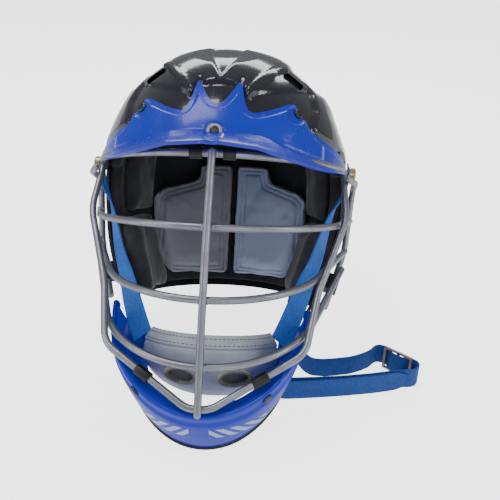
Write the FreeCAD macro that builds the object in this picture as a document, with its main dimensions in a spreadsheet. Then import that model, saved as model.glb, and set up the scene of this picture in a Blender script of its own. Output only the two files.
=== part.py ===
import FreeCAD, Part
import math
import os
import Sketcher

# A field lacrosse helmet with a wire face mask.  Every piece is laid out in the
# worn frame (X to the wearer's left, Y to the back of the head, Z up, zero near
# the centre of the head) and then tipped onto the surface that the helmet rests
# on.  It rests on the flat underside of its chin guard and on its nape rim.  The
# origin of the finished part is the middle of the chin guard's resting flat.
V = FreeCAD.Vector
X_AXIS, Y_AXIS, Z_AXIS = V(1, 0, 0), V(0, 1, 0), V(0, 0, 1)

doc = FreeCAD.newDocument("helmet")

# ---------------------------------------------------------------- the sheet
SIZES = {
    # shell, a dome of two half ellipsoids that share one ring
    "shell_half_width": 116.0,
    "shell_half_length": 138.0,
    "shell_height": 130.0,
    "shell_depth": 185.0,
    "shell_centre_y": 4.0,
    "shell_centre_z": 20.0,
    "shell_wall": 3.0,
    "brow_edge_z": 58.0,
    "ear_edge_z": 32.0,
    "temple_edge_y": -34.0,
    "ear_edge_y": -12.0,
    "jaw_edge_y": -36.0,
    "shell_low_z": -95.0,
    "vent_width": 22.0,
    "vent_height": 7.5,
    "vent_x": 60.0,
    "vent_z": 116.0,
    # liner and pads, in layers inside the shell
    "fit_gap": 0.3,
    "liner_thickness": 11.0,
    "pad_thickness": 13.0,
    # visor
    "visor_wall": 3.5,
    "visor_reach": 16.0,
    "visor_low_z": 57.0,
    "brim_tilt": 6.3,
    "brim_height": 7.0,
    "spike_z": 108.0,
    "spike_x": 19.0,
    "visor_half_width": 104.0,
    # cage
    "wire_radius": 3.0,
    "mask_half_width": 109.5,
    "mask_top_y": -40.0,
    "mask_top_z": 41.0,
    "mask_slope": 34.6,
    "mask_length": 228.0,
    "top_bar_y": -133.8,
    "top_bar_z": 50.0,
    "top_bar_radius": 111.5,
    "upper_bar_y": -147.6,
    "upper_bar_z": -6.6,
    "upper_bar_radius": 109.3,
    "middle_bar_y": -160.5,
    "middle_bar_z": -61.3,
    "middle_bar_radius": 93.9,
    "lower_bar_y": -166.8,
    "lower_bar_z": -112.0,
    "lower_bar_radius": 90.9,
    "centre_bar_radius": 658.0,
    # chin guard
    "guard_wall": 3.5,
    "guard_height": 62.5,
    "guard_half_width": 88.0,
    "guard_low_half_width": 72.0,
    "guard_length": 110.0,
    "guard_low_length": 104.0,
    "chin_rest_y": -129.1,
    "chin_rest_z": -191.05,
    "nape_rest_y": 109.5,
    "nape_rest_z": -95.0,
    # chin strap
    "snap_y": -26.0,
    "snap_z": 38.0,
    "stud_radius": 2.5,
    "cap_radius": 6.5,
    "swing_gap": 0.05,
    "strap_width": 19.0,
    "strap_thickness": 1.8,
    "strap_lean": 24.3,
    "cup_half_width": 64.0,
    "cup_half_depth": 40.0,
    "cup_half_height": 42.0,
    "cup_wall": 3.0,
    "cup_lining": 3.0,
    # loose strap and its slider
    "web_width": 20.0,
    "web_thickness": 1.8,
    "slider_length": 30.0,
    "slider_bar": 2.6,
    "slider_thickness": 2.0,
}
sheet = doc.addObject("Spreadsheet::Sheet", "Sizes")
for row, (alias, number) in enumerate(SIZES.items(), start=1):
    sheet.set(f"A{row}", alias)
    sheet.set(f"B{row}", str(number))
    sheet.setAlias(f"B{row}", alias)
doc.recompute()


def size(alias):
    """The number that the sheet holds under a name."""
    return float(getattr(sheet, alias))


def bind(thing, **expressions):
    """Ties properties of a document object to expressions over the sheet."""
    for name, text in expressions.items():
        thing.setExpression(name, text)
    return thing


# ------------------------------------------------- the tilt that it rests at
chin_rest = V(0, size("chin_rest_y"), size("chin_rest_z"))
nape_rest = V(0, size("nape_rest_y"), size("nape_rest_z"))
rest_tilt = math.degrees(math.atan2(nape_rest.z - chin_rest.z, nape_rest.y - chin_rest.y))
tip_over = FreeCAD.Rotation(X_AXIS, -rest_tilt)
REST = FreeCAD.Placement(tip_over.multVec(-chin_rest), tip_over)

pieces = []


def keep(thing, label, place=None):
    """Names a finished piece and sets it down on the resting surface."""
    thing.Label = label
    thing.Placement = REST.multiply(place) if place else REST
    pieces.append(thing)
    return thing


def primitive(kind, name, place=None, **expressions):
    """A Part primitive whose sizes follow the sheet."""
    thing = doc.addObject("Part::" + kind, name)
    if place:
        thing.Placement = place
    return bind(thing, **expressions)


def block(name, low, high):
    """A box between two corners, used to trim other pieces."""
    thing = doc.addObject("Part::Box", name)
    thing.Placement = FreeCAD.Placement(V(*low), FreeCAD.Rotation())
    thing.Length, thing.Width, thing.Height = (b - a for a, b in zip(low, high))
    return thing


def cut(name, base, tool):
    thing = doc.addObject("Part::Cut", name)
    thing.Base, thing.Tool = base, tool
    return thing


def common(name, base, tool):
    thing = doc.addObject("Part::Common", name)
    thing.Base, thing.Tool = base, tool
    return thing


def fuse(name, *things):
    thing = doc.addObject("Part::MultiFuse", name)
    thing.Shapes = list(things)
    return thing


def group(name, *things):
    thing = doc.addObject("Part::Compound", name)
    thing.Links = list(things)
    return thing


def made(name, shape):
    """A piece whose free-form shape is worked out here from the sheet's sizes."""
    thing = doc.addObject("Part::Feature", name)
    thing.Shape = shape
    return thing


def prism(name, outline, half_width):
    """An outline in the side view, run across the helmet, used to trim pieces."""
    wire = Part.makePolygon([V(-half_width, y, z) for y, z in outline + outline[:1]])
    return made(name, Part.Face(wire).extrude(V(2 * half_width, 0, 0)))


# ------------------------------------------------------ dome, shell and liner
def dome(name, inset):
    """The shell's form moved inwards by an expression over the sheet."""
    centre = FreeCAD.Placement(
        V(0, size("shell_centre_y"), size("shell_centre_z")), FreeCAD.Rotation()
    )
    halves = []
    for half, rise, low, high in (("top", "shell_height", 0, 90), ("low", "shell_depth", -90, 0)):
        part = primitive(
            "Ellipsoid", f"{name}_{half}", centre,
            Radius1=f"Sizes.{rise} - {inset}",
            Radius2=f"Sizes.shell_half_width - {inset}",
            Radius3=f"Sizes.shell_half_length - {inset}",
        )
        part.Angle1, part.Angle2, part.Angle3 = low, high, 360
        halves.append(part)
    return fuse(name, *halves)


WALL = "Sizes.shell_wall"
LINER_OUT = f"({WALL} + Sizes.fit_gap)"
LINER_IN = f"({LINER_OUT} + Sizes.liner_thickness)"
PAD_OUT = f"({LINER_IN} + Sizes.fit_gap)"
PAD_IN = f"({PAD_OUT} + Sizes.pad_thickness)"

FAR = 200.0


def open_side(name, brow, ear, temple, side, jaw, bottom):
    """What is taken away for the face, the ears and the neck."""
    outline = [
        (-FAR, brow), (temple, brow), (temple, ear), (side, ear), (side, ear - 40),
        (jaw, bottom + 30), (jaw, bottom), (FAR, bottom), (FAR, -FAR), (-FAR, -FAR),
    ]
    return prism(name, outline, FAR)


shell_opening = open_side(
    "shell_opening", size("brow_edge_z"), size("ear_edge_z"), size("temple_edge_y"),
    size("ear_edge_y"), size("jaw_edge_y"), size("shell_low_z"),
)
shell_skin = cut("shell_skin", dome("shell_form", "0"), dome("shell_hollow", WALL))
shell_open = cut("shell_open", shell_skin, shell_opening)

# Two slots in the brow, high on each side, let air in.
vents = []
VENT_TURN = 36.0
for side in (-1, 1):
    turn = FreeCAD.Rotation(Y_AXIS, side * VENT_TURN)
    middle = FreeCAD.Placement(V(side * size("vent_x"), -FAR, size("vent_z")), turn)
    corner = FreeCAD.Placement(V(-size("vent_width") / 2, 0, -size("vent_height") / 2), FreeCAD.Rotation())
    vents.append(primitive(
        "Box", f"vent_{'right' if side < 0 else 'left'}", middle.multiply(corner),
        Length="Sizes.vent_width", Height="Sizes.vent_height",
    ))
    vents[-1].Width = FAR - 20
vent_pair = fuse("vent_pair", *vents)

stud_holes = primitive(
    "Cylinder", "stud_holes",
    FreeCAD.Placement(V(-FAR, size("snap_y"), size("snap_z")), FreeCAD.Rotation(Y_AXIS, 90)),
    Radius="Sizes.stud_radius",
)
stud_holes.Height = 2 * FAR
table = doc.addObject("Part::Box", "table")
table.Length, table.Width, table.Height = 2 * FAR, 4 * FAR, FAR
table.Placement = REST.inverse().multiply(
    FreeCAD.Placement(V(-FAR, -2 * FAR, -FAR), FreeCAD.Rotation())
)
shell_tools = fuse("shell_tools", vent_pair, stud_holes, table)
shell_body = cut("shell_body", shell_open, shell_tools)

MARGIN = 4.0
liner_opening = open_side(
    "liner_opening", size("brow_edge_z") + MARGIN, size("ear_edge_z") + MARGIN,
    size("temple_edge_y") + MARGIN, size("ear_edge_y") + MARGIN,
    size("jaw_edge_y") + MARGIN, size("shell_low_z") + 2 * MARGIN,
)
liner_skin = cut("liner_skin", dome("liner_form", LINER_OUT), dome("liner_hollow", LINER_IN))
liner_body = cut("liner_body", liner_skin, liner_opening)

pad_layer = cut("pad_layer", dome("pad_form", PAD_OUT), dome("pad_hollow", PAD_IN))
pad_skin = cut("pad_skin", pad_layer, liner_opening)
BACK_Y = 60.0
PAD_GAP = 1.5
PADS = {
    "brow_pad": ((-70, -FAR, 62), (70, -62, 96)),
    "crown_pad": ((-48, -50, 60), (48, 52, FAR)),
    "back_pad_right": ((-82, BACK_Y, -80), (-PAD_GAP, FAR, 44)),
    "back_pad_left": ((PAD_GAP, BACK_Y, -80), (82, FAR, 44)),
    "side_pad_right": ((-FAR, 2, -8), (-60, 54, 62)),
    "side_pad_left": ((60, 2, -8), (FAR, 54, 62)),
    "jaw_pad_right": ((-FAR, -24, -86), (-60, 50, -12)),
    "jaw_pad_left": ((60, -24, -86), (FAR, 50, -12)),
}
for label, (low, high) in PADS.items():
    keep(common(label + "_piece", pad_skin, block(label + "_block", low, high)), label)

# ---------------------------------------------------------------------- visor
# A thin cover over the brow with two tall spikes in the middle and a round lobe
# on each side, and a brim that stands out under it.
visor_skin = cut(
    "visor_skin", dome("visor_form", "(0 - Sizes.fit_gap - Sizes.visor_wall)"),
    dome("visor_hollow", "(0 - Sizes.fit_gap)"),
)
half, low, tip = size("visor_half_width"), size("visor_low_z"), size("spike_z")
spike = size("spike_x")
crest = [
    (half, low - 20), (half, low + 6), (half - 16, low + 30), (74, 84), (60, 93), (46, 87),
    (spike + 12, 82), (spike + 5, 90), (spike, tip), (spike - 6, tip - 6), (0, tip - 26),
]
outline = crest + [(-x, z) for x, z in reversed(crest[:-1])]
visor_sheet = Part.Face(Part.makePolygon([V(x, -FAR, z) for x, z in outline + outline[:1]]))
visor_block = made("visor_block", visor_sheet.extrude(V(0, FAR + size("temple_edge_y") - 3, 0)))
BRIM_FRONT = V(0, size("shell_centre_y") - size("shell_half_length") - size("visor_reach"), low)
brim_turn = FreeCAD.Rotation(X_AXIS, -size("brim_tilt"))
brim_base = FreeCAD.Placement(BRIM_FRONT, brim_turn)
under_brim = doc.addObject("Part::Box", "under_brim")
under_brim.Length, under_brim.Width, under_brim.Height = 2 * FAR, FAR, FAR
under_brim.Placement = brim_base.multiply(FreeCAD.Placement(V(-FAR, -FAR / 4, -FAR), FreeCAD.Rotation()))
visor_cover = cut("visor_cover", common("visor_plate", visor_skin, visor_block), under_brim)
brim_ring = doc.addObject("Part::Ellipse", "brim_ring")
bind(
    brim_ring,
    MajorRadius="Sizes.shell_half_length + Sizes.visor_reach",
    MinorRadius="Sizes.shell_half_width + Sizes.fit_gap + Sizes.visor_wall",
)
reach = size("shell_half_length") + size("visor_reach")
brim_ring.Placement = brim_base.multiply(
    FreeCAD.Placement(V(0, reach, 0), FreeCAD.Rotation(Z_AXIS, 90))
)
brim_slab = doc.addObject("Part::Extrusion", "brim_slab")
brim_slab.Base, brim_slab.DirMode, brim_slab.Dir, brim_slab.Solid = (
    brim_ring, "Custom", brim_turn.multVec(Z_AXIS), True,
)
bind(brim_slab, LengthFwd="Sizes.brim_height")
brim_trim = common("brim_trim", brim_slab, visor_block)
brim = cut("brim", brim_trim, dome("brim_hollow", "(0 - Sizes.fit_gap)"))
visor_all = fuse("visor_all", visor_cover, brim)


def screw(name, radius, dome_height, shank_radius, shank_length):
    """A turned screw: domed head over a plain shank, its axis along Z."""
    body = doc.addObject("PartDesign::Body", name)
    sketch = body.newObject("Sketcher::SketchObject", name + "_profile")
    sketch.AttachmentSupport = (plane_of(body, "XZ_Plane"), [""])
    sketch.MapMode = "FlatFace"
    corners = [
        (0, -shank_length), (shank_radius, -shank_length), (shank_radius, 0),
        (radius, 0), (radius, dome_height * 0.45), (radius * 0.72, dome_height), (0, dome_height),
    ]
    closed_outline(sketch, corners)
    turn = body.newObject("PartDesign::Revolution", name + "_turn")
    turn.Profile = sketch
    turn.ReferenceAxis = (sketch, ["V_Axis"])
    turn.Angle = 360
    return body


def plane_of(body, role):
    """One of a body's own origin planes."""
    return next(f for f in body.Origin.OriginFeatures if f.Role == role)


def closed_outline(sketch, corners, expressions=None):
    """Straight edges through fixed corners, joined end to end."""
    count, first = len(corners), sketch.GeometryCount
    for index, (x, y) in enumerate(corners):
        nx, ny = corners[(index + 1) % count]
        sketch.addGeometry(Part.LineSegment(V(x, y, 0), V(nx, ny, 0)), False)
    for index in range(count):
        onto = first + (index + 1) % count
        sketch.addConstraint(Sketcher.Constraint("Coincident", first + index, 2, onto, 1))
    for index, (x, y) in enumerate(corners):
        for kind, value in (("DistanceX", x), ("DistanceY", y)):
            made_at = sketch.addConstraint(Sketcher.Constraint(kind, -1, 1, first + index, 1, value))
            text = (expressions or {}).get((index, kind))
            if text:
                sketch.setExpression(f"Constraints[{made_at}]", text)


def dome_point(x, z, outset):
    """A point on the front of the dome, moved outwards, and its outward normal."""
    centre = V(0, size("shell_centre_y"), size("shell_centre_z"))
    rise = size("shell_height") if z >= centre.z else size("shell_depth")
    radii = V(size("shell_half_width"), size("shell_half_length"), rise)
    rest = 1 - (x / radii.x) ** 2 - ((z - centre.z) / radii.z) ** 2
    point = V(x, centre.y - radii.y * math.sqrt(rest), z)
    out = V(point.x / radii.x**2, (point.y - centre.y) / radii.y**2, (z - centre.z) / radii.z**2)
    out.normalize()
    return point + out * outset, out


def facing(point, direction):
    """A placement whose Z axis points along a direction."""
    return FreeCAD.Placement(point, FreeCAD.Rotation(Z_AXIS, direction))


visor_out = size("fit_gap") + size("visor_wall")
SHANK = 2.0
SHANK_LENGTH = 9.0
LOBE_X, LOBE_Z = 63.0, 84.0
CENTRE_SCREW_Z = 66.0
holes = []
washer_height = 1.2
centre_at, centre_out = dome_point(0, CENTRE_SCREW_Z, visor_out)
screw_spots = [dome_point(side * LOBE_X, LOBE_Z, visor_out) for side in (-1, 1)]
for index, (point, out) in enumerate(screw_spots + [(centre_at, centre_out)]):
    drill = doc.addObject("Part::Cylinder", f"visor_drill_{index}")
    drill.Radius, drill.Height = SHANK, 40
    drill.Placement = facing(point - out * 20, out)
    holes.append(drill)
visor_holes = fuse("visor_holes", *holes)
keep(cut("visor_piece", visor_all, visor_holes), "visor")
# The same drills run on through the shell and its liner.
keep(cut("shell_piece", shell_body, visor_holes), "shell")
keep(cut("liner_piece", liner_body, visor_holes), "foam_liner")
side_screws = []
for index, (point, out) in enumerate(screw_spots):
    one = screw(f"side_screw_{index}", 4.2, 1.8, SHANK - 0.1, SHANK_LENGTH)
    one.Placement = facing(point, out)
    side_screws.append(one)
keep(group("side_screws", *side_screws), "visor_side_screws")
keep(
    screw("centre_screw", 3.8, 2.2, SHANK - 0.1, SHANK_LENGTH), "visor_centre_screw",
    facing(centre_at + centre_out * washer_height, centre_out),
)


def ring(name, outer, inner, height):
    """A flat ring turned about Z, from zero up."""
    body = doc.addObject("PartDesign::Body", name)
    sketch = body.newObject("Sketcher::SketchObject", name + "_profile")
    sketch.AttachmentSupport = (plane_of(body, "XZ_Plane"), [""])
    sketch.MapMode = "FlatFace"
    closed_outline(sketch, [(inner, 0), (outer, 0), (outer, height), (inner, height)])
    turn = body.newObject("PartDesign::Revolution", name + "_turn")
    turn.Profile = sketch
    turn.ReferenceAxis = (sketch, ["V_Axis"])
    turn.Angle = 360
    return body


keep(ring("centre_washer", 6.2, SHANK, washer_height), "visor_centre_washer", facing(centre_at, centre_out))

# ----------------------------------------------------------------------- cage
RADIUS = "Sizes.wire_radius"
wire = size("wire_radius")


def bow(name, front, tilt, radius_alias, half_angle, leg):
    """A round bar bent to a bow: an arc through its front point and two straight legs."""
    place = FreeCAD.Placement(front, FreeCAD.Rotation(X_AXIS, tilt))
    radius = size(radius_alias)
    start = FreeCAD.Placement(V(0, radius, 0), FreeCAD.Rotation(Z_AXIS, -90 - half_angle))
    arc = primitive(
        "Torus", name + "_arc", place.multiply(start),
        Radius1=f"Sizes.{radius_alias}", Radius2=RADIUS,
    )
    arc.Angle1, arc.Angle2, arc.Angle3 = -180, 180, 2 * half_angle
    parts = [arc]
    turn = math.radians(half_angle)
    for side in (-1, 1):
        at = V(side * radius * math.sin(turn), radius * (1 - math.cos(turn)), 0)
        along = V(side * math.cos(turn), math.sin(turn), 0)
        tag = "right" if side < 0 else "left"
        stem = primitive("Cylinder", f"{name}_leg_{tag}", place.multiply(facing(at, along)), Radius=RADIUS)
        stem.Height = leg
        end = FreeCAD.Placement(at + along * leg, FreeCAD.Rotation())
        parts += [stem, primitive("Sphere", f"{name}_end_{tag}", place.multiply(end), Radius=RADIUS)]
    return fuse(name, *parts)


def bow_from_sheet(label, alias, tilt, half_angle, leg):
    front = V(0, size(alias + "_y"), size(alias + "_z"))
    keep(bow(label + "_piece", front, tilt, alias + "_radius", half_angle, leg), label)


bow_from_sheet("top_bar", "top_bar", -5.8, 78, 5)
bow_from_sheet("upper_cross_bar", "upper_bar", 0, 75, 60)
bow_from_sheet("middle_cross_bar", "middle_bar", 11, 70, 84)
bow_from_sheet("lower_cross_bar", "lower_bar", 24.5, 72, 90)


def rounded_wire(points, radii):
    """Straight runs through points, joined by tangent arcs at the inner points."""
    edges, last = [], points[0]
    for before, corner, after, radius in zip(points, points[1:], points[2:], radii):
        inward, onward = (before - corner).normalize(), (after - corner).normalize()
        half_turn = inward.getAngle(onward) / 2
        reach = radius / math.tan(half_turn)
        first, second = corner + inward * reach, corner + onward * reach
        bisector = (inward + onward).normalize()
        middle = corner + bisector * (radius / math.sin(half_turn) - radius)
        edges += [Part.LineSegment(last, first).toShape(), Part.Arc(first, middle, second).toShape()]
        last = second
    edges.append(Part.LineSegment(last, points[-1]).toShape())
    return Part.Wire(edges)


def tube(path, radius):
    """A round bar along a path, with its ends rounded off."""
    first, last = path.Edges[0], path.Edges[-1]
    start, heading = first.valueAt(first.FirstParameter), first.tangentAt(first.FirstParameter)
    profile = Part.Wire(Part.makeCircle(radius, start, heading))
    bar = path.makePipeShell([profile], True, True)
    finish = last.valueAt(last.LastParameter)
    return bar.fuse([Part.makeSphere(radius, start), Part.makeSphere(radius, finish)])


# The rim of the mask lies in one sloping plane: X across, Y down the slope.
MASK = FreeCAD.Placement(
    V(0, size("mask_top_y"), size("mask_top_z")),
    FreeCAD.Rotation(X_AXIS, -90 - size("mask_slope")),
)
rim_half, rim_length = size("mask_half_width"), size("mask_length")
rim_side = [
    V(rim_half, 0, 0), V(rim_half + 3, 52, 0), V(rim_half - 20, 122, 0),
    V(rim_half - 29, rim_length - 52, 0), V(9, rim_length - 2.5, 0),
]
rim_points = rim_side + [V(-p.x, p.y, 0) for p in reversed(rim_side)]
RIM_RADII = (60, 80, 24, 22)
rim_path = rounded_wire(rim_points, RIM_RADII + RIM_RADII[::-1])
keep(made("perimeter_piece", tube(rim_path, wire)), "perimeter_bar", MASK)

# The centre bar stands in front of every cross bar and touches each.
chord_top = V(0, size("top_bar_y") - 2 * wire - 0.4, size("top_bar_z") + 1.5)
chord_low = V(0, size("lower_bar_y") - 2 * wire + 1.6, size("lower_bar_z") - 36)
chord = chord_low - chord_top
bend = size("centre_bar_radius")
half_angle = math.degrees(math.asin(chord.Length / 2 / bend))
middle = (chord_top + chord_low) * 0.5
outwards = V(0, chord.z, -chord.y).normalize()
centre = middle - outwards * math.sqrt(bend**2 - chord.Length**2 / 4)
facing_out = math.degrees(math.atan2(outwards.z, outwards.y))
spin = FreeCAD.Rotation(X_AXIS, facing_out - half_angle).multiply(
    FreeCAD.Rotation(V(1, 1, 1), 120)
)
centre_arc = primitive(
    "Torus", "centre_arc", FreeCAD.Placement(centre, spin),
    Radius1="Sizes.centre_bar_radius", Radius2=RADIUS,
)
centre_arc.Angle1, centre_arc.Angle2, centre_arc.Angle3 = -180, 180, 2 * half_angle
ends = [
    primitive("Sphere", f"centre_end_{index}", FreeCAD.Placement(at, FreeCAD.Rotation()), Radius=RADIUS)
    for index, at in enumerate((chord_top, chord_low))
]
keep(fuse("centre_piece", centre_arc, *ends), "centre_bar")

for side, tag in ((1, "left"), (-1, "right")):
    rail = [
        V(side * 114, -54, 34), V(side * 121, -38, 30), V(side * 123, 2, 22),
        V(side * 117.5, -12, -36), V(side * 100, -44, -84),
    ]
    keep(made(f"side_bar_piece_{tag}", tube(rounded_wire(rail, (16, 14, 60)), wire)), f"side_bar_{tag}")

# Two plastic sleeves hold the top bar to the visor, one each side of the centre bar.
clamps = []
sleeve_angle = 5.0
sleeve_from = 4.2
top_place = FreeCAD.Placement(V(0, size("top_bar_y"), size("top_bar_z")), FreeCAD.Rotation(X_AXIS, -5.8))
for side, tag in ((1, "left"), (-1, "right")):
    start = -90 + (sleeve_from if side > 0 else -sleeve_from - sleeve_angle)
    tubes = []
    for part, radius, spare in (("outer", RADIUS + " + 1.6", 0), ("inner", RADIUS, 1)):
        turn = FreeCAD.Placement(V(0, size("top_bar_radius"), 0), FreeCAD.Rotation(Z_AXIS, start - spare))
        sleeve = primitive(
            "Torus", f"sleeve_{part}_{tag}", top_place.multiply(turn),
            Radius1="Sizes.top_bar_radius", Radius2=radius,
        )
        sleeve.Angle1, sleeve.Angle2, sleeve.Angle3 = -180, 180, sleeve_angle + 2 * spare
        tubes.append(sleeve)
    clamps.append(cut(f"sleeve_{tag}", *tubes))
keep(group("clamp_pair", *clamps), "top_bar_clamps")

# ----------------------------------------------------------------- chin guard
GUARD_TOP = 3.0
GUARD_START, GUARD_LOW_START = 122.0, 140.0


def guard_outline(half_width, length, start, depth, wall):
    """A band round the front of a half ellipse, open at the back, at one depth."""
    edges = []
    for w, l in ((half_width, length), (half_width - wall, length - wall)):
        long_way, short_way = max(w, l), min(w, l)
        main = Y_AXIS if l >= w else X_AXIS
        curve = Part.Ellipse(V(0, 0, 0), long_way, short_way)
        first, last = (-math.pi / 2, math.pi / 2) if l >= w else (0, math.pi)
        edge = Part.ArcOfEllipse(curve, first, last).toShape()
        turn = FreeCAD.Rotation(Z_AXIS, 90 if main == Y_AXIS else 0)
        edge.Placement = FreeCAD.Placement(V(0, start, depth), turn)
        edges.append(edge)
    outer, inner = (sorted((v.Point for v in e.Vertexes), key=lambda p: p.x) for e in edges)
    joins = [Part.LineSegment(a, b).toShape() for a, b in zip(outer, inner)]
    return Part.Wire(Part.__sortEdges__([edges[0], joins[0], edges[1], joins[1]]))


wall = size("guard_wall")
guard_band = Part.makeLoft([
    guard_outline(size("guard_half_width"), size("guard_length"), GUARD_START, GUARD_TOP, wall),
    guard_outline(
        size("guard_low_half_width"), size("guard_low_length"), GUARD_LOW_START,
        size("guard_height"), wall,
    ),
], True, True)
guard_form = made("guard_form", guard_band)
guard_form.Placement = MASK
# The lower cross bar passes over the top edge of the guard on each side.
relief = [(180, -6), (168, 9), (142, 20), (100, 20), (100, -6)]
relief_face = Part.Face(Part.makePolygon([V(-FAR, y, z) for y, z in relief + relief[:1]]))
guard_relief = made("guard_relief", relief_face.extrude(V(2 * FAR, 0, 0)))
guard_relief.Placement = MASK


def guard_skin(x, depth):
    """A point on the guard's outer skin and its outward normal, in the mask's plane."""
    share = (depth - GUARD_TOP) / (size("guard_height") - GUARD_TOP)
    low_high = (
        ("guard_half_width", "guard_low_half_width"), ("guard_length", "guard_low_length"),
    )
    across, ahead = (size(a) + share * (size(b) - size(a)) for a, b in low_high)
    start = GUARD_START + share * (GUARD_LOW_START - GUARD_START)
    y = ahead * math.sqrt(1 - (x / across) ** 2)
    normal = V(x / across**2, y / ahead**2, 0).normalize()
    return V(x, start + y, depth), normal


guard_drills, chin_screws, chin_clips = [], [], []
CLIP_X, SCREW_X, CLIP_SIZE, SCREW_DEPTH = 46.0, 52.0, 14.0, 9.0
run = rim_side[4] - rim_side[3]
part_way = (CLIP_X - rim_side[3].x) / run.x
for side, tag in ((1, "left"), (-1, "right")):
    on_rim = rim_side[3] + run * part_way
    on_rim.x *= side
    seat, normal = guard_skin(side * SCREW_X, SCREW_DEPTH)
    head_place = MASK.multiply(facing(seat, normal))
    drill = doc.addObject("Part::Cylinder", f"guard_drill_{tag}")
    drill.Radius, drill.Height = 2.1, 12
    drill.Placement = MASK.multiply(facing(seat - normal * 10, normal))
    guard_drills.append(drill)
    one = screw(f"chin_screw_{tag}", 4.5, 2.0, 2.0, 9.0)
    one.Placement = head_place
    chin_screws.append(one)
    body = doc.addObject("Part::Box", f"clip_block_{tag}")
    body.Length, body.Width, body.Height = 13, CLIP_SIZE, 9.0
    body.Placement = MASK.multiply(
        FreeCAD.Placement(on_rim, FreeCAD.Rotation(V(0, 0, 1), V(normal.y, -normal.x, 0), normal, "XYZ"))
    ).multiply(FreeCAD.Placement(V(-4.4, -CLIP_SIZE / 2, -4.4), FreeCAD.Rotation()))
    bore = doc.addObject("Part::Cylinder", f"clip_bore_{tag}")
    bore.Radius, bore.Height = wire + 0.02, 60
    rim_way = V(side * run.x, run.y, 0).normalize()
    bore.Placement = MASK.multiply(facing(on_rim - rim_way * 30, rim_way))
    tools = fuse(f"clip_tools_{tag}", bore, drill)
    chin_clips.append(cut(f"clip_{tag}", body, tools))
keep(group("chin_screw_pair", *chin_screws), "chin_screws")
keep(group("chin_clip_pair", *chin_clips), "chin_clips")
guard_tools = fuse("guard_tools", table, guard_relief, *guard_drills)
keep(cut("guard_piece", guard_form, guard_tools), "chin_guard")

# A block on each jaw holds the side bar to the shell.
jaw_clips = []
for side, tag in ((1, "left"), (-1, "right")):
    top, low = V(side * 117.5, -12, -36), V(side * 100, -44, -84)
    on_bar = top + (low - top) * 0.6
    along = (low - top).normalize()
    turn = FreeCAD.Rotation(V(side, 0, 0), V(0, 0, 0), along, "ZXY")
    body = doc.addObject("Part::Box", f"jaw_block_{tag}")
    body.Length, body.Width, body.Height = 13, 12, 16
    body.Placement = FreeCAD.Placement(on_bar, turn).multiply(
        FreeCAD.Placement(V(-8.2, -6, -8), FreeCAD.Rotation())
    )
    bore = doc.addObject("Part::Cylinder", f"jaw_bore_{tag}")
    bore.Radius, bore.Height = wire + 0.02, 60
    bore.Placement = facing(on_bar - along * 30, along)
    trimmed = cut(f"jaw_trim_{tag}", body, fuse(f"jaw_tools_{tag}", bore, dome(f"jaw_seat_{tag}", "0")))
    jaw_clips.append(trimmed)
keep(group("jaw_clip_pair", *jaw_clips), "jaw_clips")

# ----------------------------------------------------------- chin strap parts
snap_at = V(0, size("snap_y"), size("snap_z"))
STRAP_X = 115.3
thick = size("strap_thickness")
FLANGE_X = STRAP_X - thick / 2 - 0.3
CAP_FROM, CAP_TO = STRAP_X + thick / 2, 122.0
STUD_FROM, FLANGE, RIM, CAP_ROOF = 109.2, 2.0, 1.5, 1.2
stud_list, cap_list = [], []
for side, tag in ((1, "left"), (-1, "right")):
    outward = V(side, 0, 0)
    body = doc.addObject("PartDesign::Body", f"stud_{tag}")
    sketch = body.newObject("Sketcher::SketchObject", f"stud_profile_{tag}")
    sketch.AttachmentSupport = (plane_of(body, "XZ_Plane"), [""])
    sketch.MapMode = "FlatFace"
    r = size("stud_radius")
    closed_outline(sketch, [
        (0, STUD_FROM), (r, STUD_FROM), (r, STUD_FROM + FLANGE), (r + FLANGE, STUD_FROM + FLANGE),
        (r + FLANGE, FLANGE_X), (r, FLANGE_X), (r, CAP_TO - RIM), (0, CAP_TO - RIM),
    ])
    turn = body.newObject("PartDesign::Revolution", f"stud_turn_{tag}")
    turn.Profile = sketch
    turn.ReferenceAxis = (sketch, ["V_Axis"])
    turn.Angle = 360
    body.Placement = facing(snap_at, outward)
    stud_list.append(body)
    cap = doc.addObject("PartDesign::Body", f"cap_{tag}")
    sketch = cap.newObject("Sketcher::SketchObject", f"cap_profile_{tag}")
    sketch.AttachmentSupport = (plane_of(cap, "XZ_Plane"), [""])
    sketch.MapMode = "FlatFace"
    bore = r + size("swing_gap")
    c = size("cap_radius")
    closed_outline(sketch, [
        (bore, CAP_FROM), (c, CAP_FROM), (c, CAP_TO - RIM), (c - RIM, CAP_TO),
        (0, CAP_TO), (0, CAP_TO - CAP_ROOF), (bore, CAP_TO - CAP_ROOF),
    ])
    turn = cap.newObject("PartDesign::Revolution", f"cap_turn_{tag}")
    turn.Profile = sketch
    turn.ReferenceAxis = (sketch, ["V_Axis"])
    turn.Angle = 360
    cap.Placement = facing(snap_at, outward)
    cap_list.append(cap)
keep(group("stud_pair", *stud_list), "temple_studs")
keep(group("cap_pair", *cap_list), "temple_caps")


def band_outline(middle_line, thickness):
    """Both sides of a bent band, from the line down its middle."""
    left, right = [], []
    for index, point in enumerate(middle_line):
        before = middle_line[max(index - 1, 0)]
        after = middle_line[min(index + 1, len(middle_line) - 1)]
        into = V(point[0] - before[0], point[1] - before[1], 0)
        out = V(after[0] - point[0], after[1] - point[1], 0)
        into = into.normalize() if into.Length else out.normalize()
        out = out.normalize() if out.Length else into
        mean = (into + out).normalize()
        reach = thickness / 2 / max(mean.dot(into), 0.5)
        left.append((point[0] - mean.y * reach, point[1] + mean.x * reach))
        right.append((point[0] + mean.y * reach, point[1] - mean.x * reach))
    return left + right[::-1]


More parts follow.
